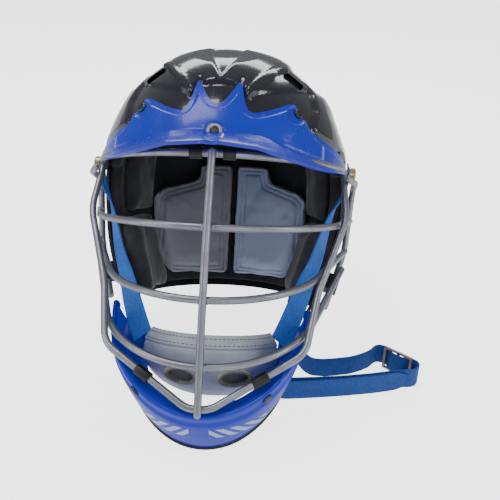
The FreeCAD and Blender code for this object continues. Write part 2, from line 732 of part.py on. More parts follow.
def strap(name, side):
    """Webbing from a temple snap to a corner of the chin cup."""
    line = [(STRAP_X, 9), (STRAP_X, -11), (101, -27), (96, -52), (86, -100), (58, -141), (46.5, -154)]
    body = doc.addObject("PartDesign::Body", name)
    sketch = body.newObject("Sketcher::SketchObject", name + "_band")
    sketch.AttachmentSupport = (plane_of(body, "XZ_Plane"), [""])
    sketch.MapMode = "FlatFace"
    closed_outline(sketch, [(side * x, z) for x, z in band_outline(line, thick)])
    pad = body.newObject("PartDesign::Pad", name + "_pad")
    pad.Profile = sketch
    pad.Midplane = True
    bind(pad, Length="Sizes.strap_width")
    return body


lean = FreeCAD.Placement(snap_at, FreeCAD.Rotation(X_AXIS, -size("strap_lean")))
snap_drill = primitive(
    "Cylinder", "snap_drill", FreeCAD.Placement(V(-FAR, 0, 0), FreeCAD.Rotation(Y_AXIS, 90)),
    Radius="Sizes.stud_radius + Sizes.swing_gap",
)
snap_drill.Height = 2 * FAR
for side, tag in ((1, "left"), (-1, "right")):
    keep(cut(f"strap_piece_{tag}", strap(f"strap_{tag}", side), snap_drill), f"chin_strap_{tag}", lean)

CUP = FreeCAD.Placement(V(0, -72, -122), FreeCAD.Rotation())
CUP_BACK, CUP_TOP = -86.0, -100.0


def cup_form(name, inset):
    return primitive(
        "Ellipsoid", name, CUP, Radius1=f"Sizes.cup_half_height - {inset}",
        Radius2=f"Sizes.cup_half_width - {inset}", Radius3=f"Sizes.cup_half_depth - {inset}",
    )


cup_layers = {
    "chin_cup": ("0", "Sizes.cup_wall"),
    "chin_cup_lining": ("Sizes.cup_wall", "(Sizes.cup_wall + Sizes.cup_lining)"),
}
for label, (outer, inner) in cup_layers.items():
    layer = cut(label + "_layer", cup_form(label + "_outer", outer), cup_form(label + "_inner", inner))
    front = block(label + "_front", (-FAR, -FAR, -FAR), (FAR, CUP_BACK, CUP_TOP))
    keep(common(label + "_piece", layer, front), label)

# ---------------------------------------------- loose strap and its slider
# This webbing hangs out of the jaw on the wearer's left and lies on edge beside
# the helmet: out to the slider, over its middle bar, back, and over on itself.
web, half_web = size("web_thickness"), size("web_width") / 2
rail_height = 2.4
ON_TABLE = REST.inverse()
LOOSE = [
    V(87, 148, 46), V(78, 120, 22), V(90, 104, half_web), V(122, 105.5, half_web + 1),
    V(143, 115, half_web + 2), V(153, 125.5, half_web + rail_height),
]
slider_at = V(172.5, 113.5, 0)
slider_turn = -36.9


def around(local):
    """A point given along, across and above the slider's own middle."""
    turned = FreeCAD.Rotation(Z_AXIS, slider_turn).multVec(local)
    return slider_at + turned


bar, plate = size("slider_bar"), size("slider_thickness")
over = plate / 2 + web / 2 + 0.25
level = half_web + rail_height
slot_middle = (size("slider_length") / 2 - bar / 2) / 2
LOOSE += [
    around(V(-slot_middle - 10.2, over + 0.4, level)),
    around(V(-slot_middle - 4.6, over, level)), around(V(-slot_middle + 1.6, -over, level)),
    around(V(slot_middle - 1.6, -over, level)), around(V(slot_middle + 4.6, over, level)),
    around(V(size("slider_length") / 2 + 4, over, level)),
]
LAYER = 3.6
strand = [
    V(194, 97, level - 1), V(186, 93.5, half_web + 0.6), V(170, 92.5, half_web), V(155, 88, half_web),
    V(141, 84.3, half_web), V(108, 77.2, half_web), V(66, 70.5, half_web),
]
FREE_END = V(178, 91.6, half_web)
folded = [V(p.x, p.y - LAYER, half_web) for p in reversed(strand[2:])]
LOOSE += strand + folded + [FREE_END]


def easy_radii(points, largest):
    """The widest tangent arc that each corner's two runs allow, up to a limit."""
    radii = []
    for before, corner, after in zip(points, points[1:], points[2:]):
        shorter = min((before - corner).Length, (after - corner).Length)
        half_turn = (before - corner).getAngle(after - corner) / 2
        radii.append(min(0.45 * shorter * math.tan(half_turn), largest))
    return radii


loose_path = rounded_wire(LOOSE, easy_radii(LOOSE, 60))
start_edge = loose_path.Edges[0]
start, heading = start_edge.valueAt(start_edge.FirstParameter), start_edge.tangentAt(0)
across = heading.cross(Z_AXIS).normalize() * (web / 2)
upward = Z_AXIS * half_web
end_face = Part.makePolygon([
    start + across + upward, start - across + upward, start - across - upward,
    start + across - upward, start + across + upward,
])
sweep = Part.BRepOffsetAPI.MakePipeShell(loose_path)
sweep.setBiNormalMode(Z_AXIS)
sweep.add(end_face)
sweep.build()
sweep.makeSolid()
loose_strap = made("loose_strap_piece", Part.Solid(sweep.shape()))
keep(loose_strap, "loose_strap", ON_TABLE)

slider = doc.addObject("PartDesign::Body", "slider_piece")
face = slider.newObject("Sketcher::SketchObject", "slider_face")
face.AttachmentSupport = (plane_of(slider, "XY_Plane"), [""])
face.MapMode = "FlatFace"
half_long, half_tall = size("slider_length") / 2, half_web + rail_height
closed_outline(face, [
    (-half_long, -half_tall), (half_long, -half_tall), (half_long, half_tall), (-half_long, half_tall),
])
for side in (-1, 1):
    near, far = side * bar / 2, side * (half_long - bar)
    slot_half = half_web + size("fit_gap")
    closed_outline(face, [(near, -slot_half), (far, -slot_half), (far, slot_half), (near, slot_half)])
plate_pad = slider.newObject("PartDesign::Pad", "slider_plate")
plate_pad.Profile = face
plate_pad.Midplane = True
bind(plate_pad, Length="Sizes.slider_thickness")
upright = FreeCAD.Rotation(Z_AXIS, slider_turn).multiply(FreeCAD.Rotation(X_AXIS, 90))
slider_place = FreeCAD.Placement(slider_at + V(0, 0, half_tall), upright)
keep(slider, "strap_slider", ON_TABLE.multiply(slider_place))

doc.recompute()
faults = [thing.Name for thing in doc.Objects if {"Invalid", "Error"} & set(thing.State)]
faults += [piece.Label for piece in pieces if piece.Shape.isNull() or not piece.Shape.isValid()]
if faults:
    raise RuntimeError(f"These pieces didn't build: {sorted(set(faults))}")
os.makedirs("parts", exist_ok=True)
for piece in pieces:
    piece.Shape.exportStep(f"parts/{piece.Label}.step")
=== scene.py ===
import math

import bmesh
import bpy
import numpy as np
from mathutils import Matrix, Vector


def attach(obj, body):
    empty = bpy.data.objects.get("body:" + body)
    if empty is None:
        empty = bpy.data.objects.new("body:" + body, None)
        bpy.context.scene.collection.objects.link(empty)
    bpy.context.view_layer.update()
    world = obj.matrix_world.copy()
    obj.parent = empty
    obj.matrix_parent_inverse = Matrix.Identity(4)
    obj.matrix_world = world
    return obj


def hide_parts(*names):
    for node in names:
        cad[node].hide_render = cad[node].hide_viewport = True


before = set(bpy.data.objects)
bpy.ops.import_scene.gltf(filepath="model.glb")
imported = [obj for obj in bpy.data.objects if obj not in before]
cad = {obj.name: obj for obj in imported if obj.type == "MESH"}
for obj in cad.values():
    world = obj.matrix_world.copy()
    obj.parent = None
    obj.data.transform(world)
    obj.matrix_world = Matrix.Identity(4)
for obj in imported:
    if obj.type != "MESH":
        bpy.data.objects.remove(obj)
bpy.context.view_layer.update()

# ------------------------------------------------------------------ the room
# A plain pale floor under the helmet, which glows more to the camera than on
# the helmet, soft studio light from above and the sides, and the camera in
# front of the face cage, a little above it.
bpy.ops.object.select_all(action="DESELECT")
bpy.ops.object.camera_add()
camera = bpy.context.object
camera.data.sensor_width = 36
camera.data.lens = 49.87
camera.data.clip_start = 0.01
look, right, up = (-0.045, 0.8756, -0.481), (0.9976, 0.0645, 0.0239), (-0.0519, 0.4788, 0.8764)
back = [-part for part in look]
camera.matrix_world = Matrix((
    (right[0], up[0], back[0], 0.0571),
    (right[1], up[1], back[1], -0.4208),
    (right[2], up[2], back[2], 0.4196),
    (0, 0, 0, 1),
))
bpy.context.scene.camera = camera

FLOOR_GLOW = (0.45, 2.6)
bpy.ops.mesh.primitive_plane_add(size=12, location=(0, 0, -0.0004))
floor = bpy.context.object
floor.name = "floor"
paint = bpy.data.materials.new("pale_floor")
paint.use_nodes = True
surface = paint.node_tree.nodes["Principled BSDF"]
surface.inputs["Roughness"].default_value = 0.9
surface.inputs["Specular IOR Level"].default_value = 0.1
surface.inputs["Emission Color"].default_value = (1, 1, 1, 1)
seen = paint.node_tree.nodes.new("ShaderNodeLightPath")
glow = paint.node_tree.nodes.new("ShaderNodeMapRange")
glow.inputs["To Min"].default_value, glow.inputs["To Max"].default_value = FLOOR_GLOW
paint.node_tree.links.new(seen.outputs["Is Camera Ray"], glow.inputs["Value"])
paint.node_tree.links.new(glow.outputs["Result"], surface.inputs["Emission Strength"])
mottle = paint.node_tree.nodes.new("ShaderNodeTexNoise")
mottle.inputs["Scale"].default_value = 3
shade = paint.node_tree.nodes.new("ShaderNodeValToRGB")
shade.color_ramp.elements[0].color = (0.86, 0.86, 0.86, 1)
shade.color_ramp.elements[1].color = (0.9, 0.9, 0.9, 1)
paint.node_tree.links.new(mottle.outputs["Fac"], shade.inputs["Fac"])
paint.node_tree.links.new(shade.outputs["Color"], surface.inputs["Base Color"])
floor.data.materials.append(paint)

world = bpy.data.worlds.new("studio")
bpy.context.scene.world = world
world.use_nodes = True
world.node_tree.nodes["Background"].inputs["Color"].default_value = (0.93, 0.96, 1.0, 1)
world.node_tree.nodes["Background"].inputs["Strength"].default_value = 0.26


def softbox(place, target, width, height, watts, tint=(1, 1, 1)):
    """One rectangular studio light, aimed at a point."""
    bpy.ops.object.light_add(type="AREA", location=place)
    lamp = bpy.context.object
    lamp.data.shape = "RECTANGLE"
    lamp.data.size, lamp.data.size_y = width, height
    lamp.data.energy = watts
    lamp.data.color = tint
    lamp.rotation_euler = (Vector(target) - Vector(place)).to_track_quat("-Z", "Y").to_euler()


softbox((-0.45, 0.1, 1.5), (0, 0.1, 0.1), 0.5, 0.7, 8)
softbox((-1.1, -0.5, 0.7), (0, 0.1, 0.15), 0.2, 1.0, 4.5)
softbox((1.15, -0.2, 0.7), (0, 0.1, 0.15), 0.2, 1.0, 4.5)
softbox((0.5, -1.2, 0.9), (0, 0, 0.12), 0.6, 0.4, 4)
softbox((0, 1.2, 0.9), (0, 0.1, 0.2), 1.2, 0.3, 6)

# ----------------------------------------------------------------- the shell
# The hard outer shell, about 3 mm of glossy black moulded plastic.  Two
# lobes run over the crown beside a V-shaped groove, with a fin, a hooded air
# slot and a proud side panel on each side.  It is cut open at the face and neck.
CHIN_REST = Vector((0, -129.1, -191.05))
NAPE_REST = Vector((0, 109.5, -95.0))
lean_back = math.atan2(NAPE_REST.z - CHIN_REST.z, NAPE_REST.y - CHIN_REST.y)
MILLIMETRES = 0.001
SET_DOWN = (
    Matrix.Scale(MILLIMETRES, 4) @ Matrix.Rotation(-lean_back, 4, "X") @ Matrix.Translation(-CHIN_REST)
)
DOME_MIDDLE = np.array([0.0, 4.0, 20.0])
DOME_ACROSS, DOME_AHEAD, DOME_UP, DOME_DOWN = 116.0, 138.0, 130.0, 185.0


def points_of(piece):
    """The piece's points as rows of numbers."""
    flat = np.empty(len(piece.data.vertices) * 3)
    piece.data.vertices.foreach_get("co", flat)
    return flat.reshape(-1, 3)


def move_points(piece, places):
    """Puts the piece's points at new places."""
    piece.data.vertices.foreach_set("co", np.ascontiguousarray(places, dtype=float).ravel())
    piece.data.update()


def only(piece):
    """Selects one piece and nothing else."""
    bpy.ops.object.select_all(action="DESELECT")
    piece.select_set(True)
    bpy.context.view_layer.objects.active = piece


def added(name):
    """Names the primitive just made and settles its place into its mesh."""
    piece = bpy.context.object
    piece.name = name
    piece.data.name = name
    only(piece)
    bpy.ops.object.transform_apply(location=True, rotation=True, scale=True)
    return piece


def finish(piece, kind, **settings):
    """Adds one modifier and applies it."""
    only(piece)
    tool = piece.modifiers.new(kind.title(), kind)
    for key, value in settings.items():
        setattr(tool, key, value)
    bpy.ops.object.modifier_apply(modifier=tool.name)


def soften(piece, width, segments=3):
    """Rounds the edges that turn by more than 50 degrees."""
    finish(
        piece, "BEVEL", width=width, segments=segments, limit_method="ANGLE", angle_limit=math.radians(50),
    )


def outward(piece):
    """Merges doubles and turns every face outwards."""
    only(piece)
    bpy.ops.object.mode_set(mode="EDIT")
    bpy.ops.mesh.select_all(action="SELECT")
    bpy.ops.mesh.remove_doubles(threshold=1e-5)
    bpy.ops.mesh.normals_make_consistent(inside=False)
    bpy.ops.object.mode_set(mode="OBJECT")


def smooth_faces(piece, degrees=35):
    """Smooth shading, with edges kept crisp above an angle."""
    only(piece)
    bpy.ops.object.shade_smooth_by_angle(angle=math.radians(degrees))


def set_down(piece, body="helmet", stands_for=(), worn=True):
    """Tips a piece laid out as worn onto the table, and joins it to its body."""
    if worn:
        piece.data.transform(SET_DOWN)
    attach(piece, body)
    if stands_for:
        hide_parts(*stands_for)


def ease(low, high, value):
    """A smooth rise from 0 at low to 1 at high."""
    share = np.clip((value - low) / (high - low), 0, 1)
    return share * share * (3 - 2 * share)


def distance_to_line(points, line):
    """How far each point is from a bent line."""
    best = np.full(len(points), 1e9)
    for a, b in zip(np.array(line, float), np.array(line, float)[1:]):
        along = b - a
        share = np.clip(((points - a) @ along) / (along @ along), 0, 1)
        best = np.minimum(best, np.linalg.norm(points - (a + share[:, None] * along), axis=1))
    return best


def dome_points(directions, outset=0.0):
    """Points on the dome along unit directions, and their outward normals."""
    rise = np.where(directions[:, 2] >= 0, DOME_UP, DOME_DOWN)
    radii = np.stack([np.full(len(rise), DOME_ACROSS), np.full(len(rise), DOME_AHEAD), rise], axis=1)
    normals = directions / radii
    normals /= np.linalg.norm(normals, axis=1)[:, None]
    return DOME_MIDDLE + directions * radii + normals * outset, normals


# The visor's upper edge, as (across, up) pairs on the wearer's left half.
VISOR_EDGE = np.array([
    (0, 89.8), (4, 91), (8, 95.5), (12, 102), (14.6, 107.3), (16.6, 109.3), (18.4, 107.5), (20.4, 99),
    (22.6, 90.6), (25.4, 85.2), (29, 83.5), (34, 84.3), (41, 86.3), (49, 89.2), (55, 91.7), (60, 92.6),
    (64, 91.2), (67.4, 86.5), (70.5, 80.2), (74.5, 74.6), (80, 70.2), (88, 65.4), (95, 61.6), (102, 57.2),
    (107.6, 51.5), (111, 45.5),
])

FIN = [(52, -52, 126), (45, -65, 124), (34, -86, 112), (24, -104, 100)]
HOOD = [(47, -84, 113), (52, -72, 120), (60, -60, 123.5), (68, -50, 122), (75, -46, 115)]
SIDE_EDGE = np.array([(58, 70), (66, 74), (80, 77), (92, 78.5), (106, 74), (116, 66)])


def shell_rise(points):
    """How far the shell's moulded form stands off the plain dome, in mm."""
    across, depth, height = np.abs(points[:, 0]), points[:, 1], points[:, 2]
    round_angle = np.degrees(np.arctan2(across / DOME_ACROSS, (height - 20) / DOME_UP))
    lobes = np.interp(
        round_angle, [0, 10, 16, 23, 28, 32, 36, 41, 45, 49, 54, 59, 65, 74, 82, 90],
        [1.2, 1.4, 2.4, 3.4, 3.0, -0.4, -0.8, 0.6, 1.6, 4.6, 4.2, 2.4, 1.6, 2.4, 1.0, 0.0],
    )
    fin_side = 24 + (height - 103) * 0.86
    panel_gap = np.minimum(height - 108.2 + 0.012 * across**2 * (across < 30), (fin_side - across) * 0.76)
    crown = 3.4 * ease(-1.3, 1.3, panel_gap)
    side_edge = np.interp(height, SIDE_EDGE[:, 0], SIDE_EDGE[:, 1])
    side = 3.6 * ease(-1.5, 3.5, across - side_edge)
    ledge = 2.6 * ease(-0.9, 0.9, height - (99.5 + (across - 26) * 0.2)) * ease(24, 30, across)
    mirrored = np.stack([across, depth, height], axis=1)
    fin = 5.2 * ease(5.2, 3.2, distance_to_line(mirrored, FIN))
    hood = 4.6 * ease(5.0, 2.0, distance_to_line(mirrored, HOOD))
    front = np.maximum.reduce([crown, side, ledge, fin, hood])
    behind = ease(-48, -18, depth)
    rise = front * (1 - behind) + lobes * behind
    half_groove = np.interp(depth, [-93, -58, -20, 40, 95, 125], [0, 15, 14, 12, 9, 4])
    groove_depth = np.interp(depth, [-96, -88, -60, -44, -38, 90, 120], [0, 4.4, 5.2, 5.2, 3.4, 3.4, 0])
    rise -= groove_depth * ease(1.6, -1.6, across - half_groove) * ease(60, 80, height)
    low_edge = np.interp(depth, [10, 55], [46, -15])
    rise *= ease(low_edge - 8, low_edge + 4, height)
    rear = ease(62, 74, depth) * ease(40, 30, height) * ease(-78, -70, height)
    rear_panel = 3.0 * ease(66, 61, across) * ease(9, 13, across) + 2.0 * ease(4.5, 1.5, np.abs(across - 84))
    rise = np.maximum(rise, rear * rear_panel)
    visor_top = np.interp(across, VISOR_EDGE[:, 0], VISOR_EDGE[:, 1])
    rise *= np.where(depth < -28, ease(visor_top - 0.5, visor_top + 3.5, height), 1)
    return np.maximum(rise, -2.9)


FULL_HEIGHT, FULL_LENGTH = 276.6, 338.8
QUARTER_TURN = math.pi / 2


def shell_wall(name, segments, rings, outset, follow):
    """One closed skin of the shell, outer or inner."""
    bpy.ops.mesh.primitive_uv_sphere_add(
        segments=segments, ring_count=rings, radius=1, rotation=(0, QUARTER_TURN, 0),
    )
    skin = added(name)
    ways = points_of(skin)
    ways /= np.linalg.norm(ways, axis=1)[:, None]
    base, normals = dome_points(ways)
    rise = shell_rise(base) * follow + outset
    placed = base + normals * rise[:, None]
    sin, cos = math.sin(lean_back), math.cos(lean_back)
    for along, above, limit in ((-sin, cos, FULL_HEIGHT), (cos, sin, FULL_LENGTH)):
        reach = (placed[:, 1] - CHIN_REST.y) * along + (placed[:, 2] - CHIN_REST.z) * above
        placed -= normals * np.clip(reach - limit, 0, None)[:, None]
    move_points(skin, placed)
    return skin


def side_profile(name, outline, half_width):
    """A cutter: an outline in the side view, run right across the helmet."""
    bpy.ops.mesh.primitive_circle_add(vertices=len(outline), radius=1, fill_type="NGON")
    cutter = added(name)
    move_points(cutter, [(-half_width, y, z) for y, z in outline])
    bpy.ops.object.mode_set(mode="EDIT")
    bpy.ops.mesh.select_all(action="SELECT")
    bpy.ops.mesh.extrude_region_move(TRANSFORM_OT_translate={"value": (2 * half_width, 0, 0)})
    bpy.ops.object.mode_set(mode="OBJECT")
    outward(cutter)
    return cutter


def cut_away(piece, *cutters):
    """Takes the cutters out of a piece and removes them."""
    for cutter in cutters:
        finish(piece, "BOOLEAN", operation="DIFFERENCE", solver="EXACT", object=cutter)
        bpy.data.objects.remove(cutter)


def turned_box(name, size, place, turn, edge=0.0):
    """A box of a size at a place, turned, with its long edges rounded."""
    bpy.ops.mesh.primitive_cube_add(size=1)
    box = added(name)
    box.data.transform(Matrix.Diagonal((*size, 1)))
    if edge:
        finish(box, "BEVEL", width=edge, segments=4, limit_method="NONE")
    box.data.transform(Matrix.Translation(place) @ turn)
    return box


shell = shell_wall("shell", 380, 220, 0.0, 1.0)
shell_inside = shell_wall("shell_inside", 190, 110, -3.0, 0.75)
FAR = 220.0
shell_outline = [
    (-FAR, 58), (-34, 58), (-34, 32), (-12, 32), (-12, -8), (-36, -65), (-36, -95),
    (FAR, -95), (FAR, -FAR), (-FAR, -FAR),
]
cutters = [shell_inside, side_profile("face_and_neck", shell_outline, FAR)]
for side in (-1, 1):
    turn = Matrix.Rotation(math.radians(side * 36), 4, "Y")
    cutters.append(turned_box("air_slot", (20, 120, 7), (side * 60, -90, 116), turn, 2.8))
    bpy.ops.mesh.primitive_cylinder_add(
        vertices=32, radius=2.6, depth=60,
        location=(side * DOME_ACROSS, -26, 38), rotation=(0, QUARTER_TURN, 0),
    )
    cutters.append(added("snap_hole"))
cut_away(shell, *cutters)
outward(shell)


def stand_on_table(piece):
    """Flattens whatever would reach below the table, in the worn layout."""
    places = points_of(piece)
    ahead, above = places[:, 1] - CHIN_REST.y, places[:, 2] - CHIN_REST.z
    under = np.clip(ahead * math.sin(lean_back) - above * math.cos(lean_back), 0, None)
    places[:, 1] -= under * math.sin(lean_back)
    places[:, 2] += under * math.cos(lean_back)
    move_points(piece, places)


stand_on_table(shell)
smooth_faces(shell, 38)


def shader_group(name, inlets, outlets):
    """An empty shader node group with named sockets."""
    tree = bpy.data.node_groups.new(name, "ShaderNodeTree")
    for label, kind, value in inlets:
        socket = tree.interface.new_socket(name=label, in_out="INPUT", socket_type="NodeSocket" + kind)
        if value is not None:
            socket.default_value = value
    for label, kind in outlets:
        tree.interface.new_socket(name=label, in_out="OUTPUT", socket_type="NodeSocket" + kind)
    return tree, tree.nodes.new("NodeGroupInput"), tree.nodes.new("NodeGroupOutput")


def wire_up(tree, *pairs):
    """Joins node sockets, from and to."""
    for start, end in pairs:
        tree.links.new(start, end)


def sum_node(tree, operation, first, second, third=None):
    """A maths node: each inlet is a socket to join or a plain number."""
    node = tree.nodes.new("ShaderNodeMath")
    node.operation = operation
    for index, source in enumerate((first, second, third)):
        if source is None:
            continue
        if isinstance(source, (int, float)):
            node.inputs[index].default_value = source
        else:
            tree.links.new(source, node.inputs[index])
    return node.outputs[0]


def ramp_node(tree, source, stops):
    """A colour ramp from (position, grey or colour) stops."""
    node = tree.nodes.new("ShaderNodeValToRGB")
    marks = node.color_ramp.elements
    while len(marks) < len(stops):
        marks.new(0.5)
    for mark, (place, tone) in zip(marks, stops):
        mark.position = place
        mark.color = (*((tone,) * 3 if isinstance(tone, (int, float)) else tone), 1)
    tree.links.new(source, node.inputs["Fac"])
    return node.outputs["Color"]


def noise_node(tree, where, scale, detail=4.0, roughness=0.55, stretch=None):
    """A noise pattern read at a place, stretched along an axis if asked."""
    if stretch:
        spread = tree.nodes.new("ShaderNodeVectorMath")
        spread.operation = "MULTIPLY"
        spread.inputs[1].default_value = stretch
        tree.links.new(where, spread.inputs[0])
        where = spread.outputs[0]
    node = tree.nodes.new("ShaderNodeTexNoise")
    node.inputs["Scale"].default_value = scale
    node.inputs["Detail"].default_value = detail
    node.inputs["Roughness"].default_value = roughness
    tree.links.new(where, node.inputs["Vector"])
    return node.outputs["Fac"]


def mix_colour(tree, share, first, second):
    """A colour mix: share, first and second are sockets or plain values."""
    node = tree.nodes.new("ShaderNodeMix")
    node.data_type = "RGBA"
    for index, source in ((0, share), (6, first), (7, second)):
        if isinstance(source, bpy.types.NodeSocket):
            tree.links.new(source, node.inputs[index])
        else:
            node.inputs[index].default_value = source if index == 0 else (*source, 1)
    return node.outputs[2]


# Moulded plastic that has been played in: broad tone changes, fine scuffs and
# a little grime, all from patterns in space.
play_wear, inlet, outlet = shader_group(
    "play_wear",
    [("Where", "Vector", None), ("Base", "Color", (0.5, 0.5, 0.5, 1)), ("Worn", "Color", (0.7, 0.7, 0.7, 1)),
     ("Amount", "Float", 0.4), ("Gloss", "Float", 0.2)],
    [("Color", "Color"), ("Roughness", "Float"), ("Height", "Float")],
)
spot = inlet.outputs["Where"]
broad = noise_node(play_wear, spot, 22, 3)
streaks = noise_node(play_wear, spot, 160, 8, 0.7, (1, 0.35, 0.7))
scuffs = ramp_node(play_wear, streaks, [(0.58, 0.0), (0.74, 1.0)])
patches = ramp_node(play_wear, noise_node(play_wear, spot, 34, 4), [(0.42, 0.0), (0.68, 1.0)])
grains = noise_node(play_wear, spot, 1400, 2)
marks = sum_node(play_wear, "MULTIPLY", scuffs, patches)
marks = sum_node(play_wear, "MULTIPLY", marks, inlet.outputs["Amount"])
dulled = sum_node(play_wear, "MULTIPLY", broad, 0.22)
toned = mix_colour(play_wear, dulled, inlet.outputs["Base"], (0.01, 0.01, 0.02))
wire_up(play_wear, (mix_colour(play_wear, marks, toned, inlet.outputs["Worn"]), outlet.inputs["Color"]))
rough = sum_node(play_wear, "MULTIPLY_ADD", marks, 0.55, inlet.outputs["Gloss"])
rough = sum_node(play_wear, "MULTIPLY_ADD", broad, 0.06, rough)
wire_up(play_wear, (rough, outlet.inputs["Roughness"]))
height = sum_node(play_wear, "MULTIPLY_ADD", marks, -0.6, sum_node(play_wear, "MULTIPLY", grains, 0.25))
wire_up(play_wear, (height, outlet.inputs["Height"]))


def new_finish(name, roughness=0.5, metallic=0.0, **constants):
    """A material with its shader, and its place in space as a source."""
    material = bpy.data.materials.new(name)
    material.use_nodes = True
    tree = material.node_tree
    shader = tree.nodes["Principled BSDF"]
    shader.inputs["Roughness"].default_value = roughness
    shader.inputs["Metallic"].default_value = metallic
    for label, value in constants.items():
        shader.inputs[label.replace("_", " ")].default_value = value
    where = tree.nodes.new("ShaderNodeTexCoord")
    return material, tree, shader, where


def bump(tree, shader, height, strength, depth):
    """Feeds a height pattern to the shader's normal."""
    node = tree.nodes.new("ShaderNodeBump")
    node.inputs["Strength"].default_value = strength
    node.inputs["Distance"].default_value = depth
    wire_up(tree, (height, node.inputs["Height"]), (node.outputs["Normal"], shader.inputs["Normal"]))


def use_effect(tree, shader, effect_group, place, strength, depth, **values):
    """Adds an effect group, sets its values and feeds the shader from it."""
    effect = tree.nodes.new("ShaderNodeGroup")
    effect.node_tree = effect_group
    for label, value in values.items():
        effect.inputs[label].default_value = value if isinstance(value, float) else (*value, 1)
    wire_up(
        tree, (place, effect.inputs[0]), (effect.outputs["Color"], shader.inputs["Base Color"]),
        (effect.outputs["Roughness"], shader.inputs["Roughness"]),
    )
    bump(tree, shader, effect.outputs["Height"], strength, depth)
    return effect


def worn_plastic(name, base, worn, amount, gloss, coat=0.0, shine=0.5):
    """A moulded plastic finish made from the play_wear effect."""
    material, tree, shader, where = new_finish(
        name, gloss, Coat_Weight=coat, Coat_Roughness=0.06, Specular_IOR_Level=shine,
    )
    effect = use_effect(
        tree, shader, play_wear, where.outputs["Object"], 0.25, 0.0002,
        Base=base, Worn=worn, Amount=amount, Gloss=gloss,
    )
    return material, tree, effect, where


def clothe(piece, material):
    """Gives a piece one material all over."""
    piece.data.materials.clear()
    piece.data.materials.append(material)


shell_finish = worn_plastic("glossy_black_shell", (0.018, 0.019, 0.028), (0.25, 0.25, 0.22), 0.35, 0.13, 0.6)
clothe(shell, shell_finish[0])
set_down(shell, stands_for=["shell"])

# ----------------------------------------------------------------- the visor
# A royal blue moulded cover over the brow, with two tall spikes in the middle
# and a screwed lobe each side.  It hugs the shell and flares to a brim.
BRIM = np.array([
    (-109, 41), (-95, 43), (-80, 45.5), (-59, 50.5), (-35, 56.5), (0, 59.3),
    (35, 56), (59, 48.5), (80, 42.5), (95, 39.5), (109, 37.5),
])


def flat_sheet(name, columns, rows):
    """A flat sheet to be shaped, and its points from -1 to 1."""
    bpy.ops.mesh.primitive_grid_add(x_subdivisions=columns, y_subdivisions=rows, size=2)
    sheet = added(name)
    return sheet, points_of(sheet)


visor, grid = flat_sheet("visor", 360, 56)
edge = np.concatenate([VISOR_EDGE[::-1] * (-1, 1), VISOR_EDGE[1:]])
steps = np.concatenate([[0], np.cumsum(np.hypot(*np.diff(edge, axis=0).T))])
share_across = (grid[:, 0] + 1) / 2
share_up = (grid[:, 1] + 1) / 2
top_x = np.interp(share_across * steps[-1], steps, edge[:, 0])
top_z = np.interp(share_across * steps[-1], steps, edge[:, 1])
VISOR_OFF = 4.0
across_off, ahead_off, up_off = DOME_ACROSS + VISOR_OFF, DOME_AHEAD + VISOR_OFF, DOME_UP + VISOR_OFF


def plan_share(height):
    """How much of the dome's plan is left at a height above its ring."""
    return np.sqrt(np.clip(1 - ((height - 20) / up_off) ** 2, 0.01, 1))


top_turn = np.arcsin(np.clip(top_x / (across_off * plan_share(top_z)), -1, 1))
brim_x = top_x * 109 / 111
BRIM_ACROSS, BRIM_AHEAD = 116.5, 154.0
brim_turn = np.arcsin(np.clip(brim_x / BRIM_ACROSS, -1, 1))
brim_z = np.interp(brim_x, BRIM[:, 0], BRIM[:, 1])
spread = share_up**0.8
visor_z = brim_z + (top_z - brim_z) * spread
visor_turn = brim_turn + (top_turn - brim_turn) * ease(0, 1, spread)
crease = np.interp(np.abs(brim_x), [0, 50, 80, 109], [9.5, 10.5, 9, 5])
flare = np.clip(1 - (visor_z - brim_z) / crease, 0, 1) ** 1.35
plan = plan_share(visor_z)
radius_x = across_off * plan * (1 - flare) + BRIM_ACROSS * flare
radius_y = ahead_off * plan * (1 - flare) + BRIM_AHEAD * flare
placed = np.stack([
    radius_x * np.sin(visor_turn), DOME_MIDDLE[1] - radius_y * np.cos(visor_turn), visor_z,
], axis=1)
out_way = placed - DOME_MIDDLE
out_way /= np.array([across_off, ahead_off, up_off]) ** 2
out_way /= np.linalg.norm(out_way, axis=1)[:, None]
rim_line = placed[np.isclose(grid[:, 1], 1)]
rim_line = rim_line[np.argsort(rim_line[:, 0], kind="stable")]
from_rim = np.full(len(placed), 1e9)
for point in rim_line[::2]:
    from_rim = np.minimum(from_rim, np.linalg.norm(placed - point, axis=1))
half_x = np.abs(placed[:, 0])
emboss = 1.3 * ease(4.2, 6.2, from_rim)
cheek_edge = np.interp(placed[:, 2], [60, 64, 70, 76, 84, 92], [86, 80, 76, 73, 70, 67])
emboss += 2.2 * ease(2.5, -2.5, half_x - cheek_edge) * ease(0.15, 0.0, flare) * ease(40, 60, half_x)
emboss += 0.9 * ease(0.12, 0.0, share_up)
SEATS = ((63, 84), (-63, 84), (0, 66))
to_seat = np.min([np.hypot(placed[:, 0] - x, placed[:, 2] - z) for x, z in SEATS], axis=0)
emboss = (emboss + 0.45) * ease(6.2, 9.0, to_seat) - 0.45
placed += out_way * emboss[:, None]
move_points(visor, placed)
finish(visor, "SOLIDIFY", thickness=3.0, offset=-1.0)
soften(visor, 0.9)
smooth_faces(visor, 40)
ROYAL_BLUE, SCUFFED_BLUE = (0.018, 0.042, 0.6), (0.3, 0.36, 0.85)
clothe(visor, worn_plastic("royal_blue_plastic", ROYAL_BLUE, SCUFFED_BLUE, 0.5, 0.24, 0.22, 0.32)[0])
set_down(visor, stands_for=["visor"])

